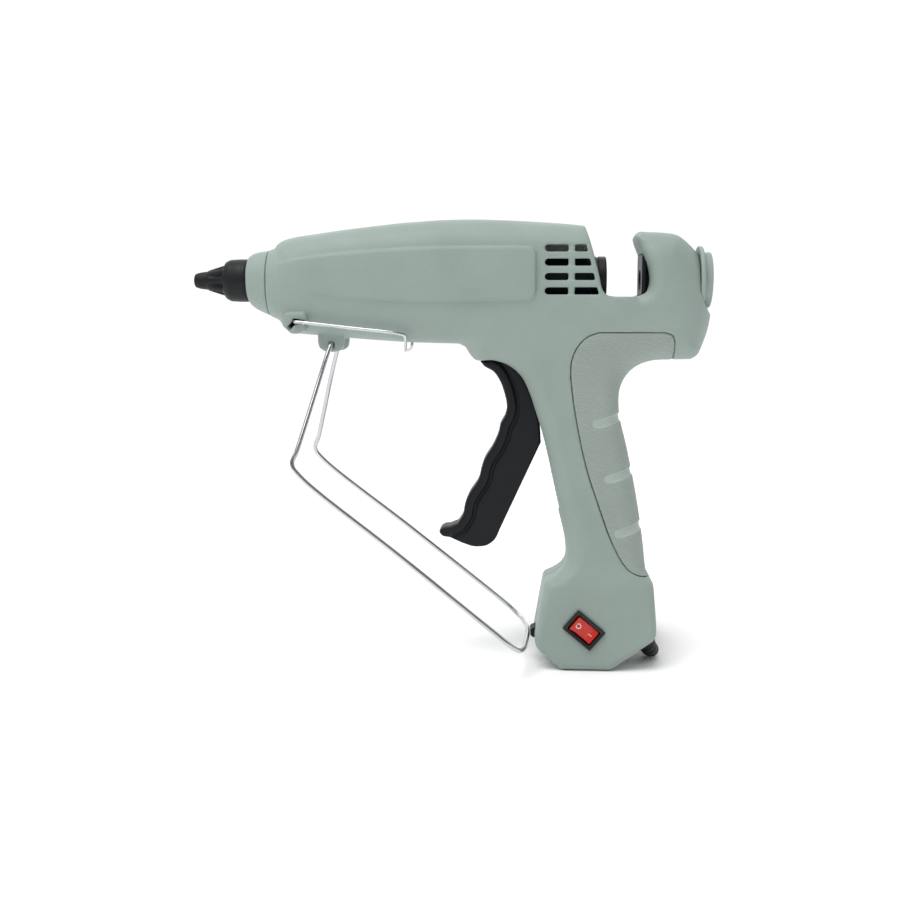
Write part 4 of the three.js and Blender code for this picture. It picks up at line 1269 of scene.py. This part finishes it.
def make_stage():
    """A round pale floor under the object."""
    floor_z = cad_box[0].z
    bm = bmesh.new()
    count, radius = 96, 6.0
    angles = [2 * math.pi * i / count for i in range(count)]
    ring = [(radius * math.cos(a), radius * math.sin(a), floor_z - 0.0002) for a in angles]
    bm.faces.new([bm.verts.new(point) for point in ring])
    mesh = bpy.data.meshes.new("floor")
    bm.to_mesh(mesh)
    bm.free()
    look = Look("floor_paint", (0.97, 0.97, 0.97, 1.0), 0.9)
    drift = look.ramp(look.noise(3.0), 0.3, 0.7)
    look.paint(look.mix(drift, (0.965, 0.965, 0.965, 1.0), (0.975, 0.975, 0.975, 1.0)))
    floor = from_mesh("floor", mesh, look.material)


def area_light(name, place, target, size, watts, colour=(1, 1, 1)):
    data = bpy.data.lights.new(name, "AREA")
    data.shape = "RECTANGLE"
    data.size, data.size_y = size
    data.energy = watts
    data.color = colour
    lamp = bpy.data.objects.new(name, data)
    bpy.context.scene.collection.objects.link(lamp)
    lamp.location = place
    lamp.rotation_mode = "QUATERNION"
    lamp.rotation_quaternion = (Vector(target) - Vector(place)).to_track_quat("-Z", "Y")


def make_world():
    """A white studio that is darker on the -Y side, so that wires and edges have something to reflect."""
    world = bpy.data.worlds.new("studio")
    bpy.context.scene.world = world
    world.use_nodes = True
    tree = world.node_tree
    split = tree.nodes.new("ShaderNodeSeparateXYZ")
    tree.links.new(tree.nodes.new("ShaderNodeTexCoord").outputs["Generated"], split.inputs["Vector"])
    fade = tree.nodes.new("ShaderNodeMapRange")
    for name, value in (("From Min", -0.5), ("From Max", 0.3), ("To Min", 0.2), ("To Max", 1.04)):
        fade.inputs[name].default_value = value
    tree.links.new(split.outputs["Y"], fade.inputs["Value"])
    background = tree.nodes["Background"]
    background.inputs["Color"].default_value = (1.0, 1.0, 1.0, 1.0)
    tree.links.new(fade.outputs["Result"], background.inputs["Strength"])


def make_lights():
    middle = (-0.09, 0.0, 0.14)
    area_light("key", (-0.55, -0.9, 1.15), middle, (0.9, 0.7), 5)
    area_light("back", (-0.2, 1.0, 0.9), middle, (1.2, 0.6), 2)
    data = bpy.data.lights.new("overhead", "SUN")
    data.energy = 1.7
    data.angle = math.radians(35)
    lamp = bpy.data.objects.new("overhead", data)
    bpy.context.scene.collection.objects.link(lamp)
    lamp.rotation_mode = "QUATERNION"
    lamp.rotation_quaternion = Vector((0.25, 0.3, -1.0)).to_track_quat("-Z", "Y")
    bpy.context.scene.view_settings.view_transform = "Standard"


# ---- The whole object ----------------------------------------------------------------------------

make_camera()
looks = make_materials()
plug_pieces = plug(looks)
plug_pieces.append(cord_boot(looks))
free_cord(looks)
for half in (-1, 1):
    housing_half(half, looks)
    grip_panel(half, looks)
nose_cap(looks)
hot_end(looks)
trigger(looks)
feed(looks)
switch_parts(looks)
wires(looks)
screws(looks)
spring = spring_turns("return_spring_skin", TRIGGER_PIVOT, 4.6, 0.6, 9.9, 13.4, 3, 1.0, looks["steel"])
stands_for(spring, "housing", "steel", "return_spring")
kept_nodes(looks)
make_stage()
make_world()
make_lights()
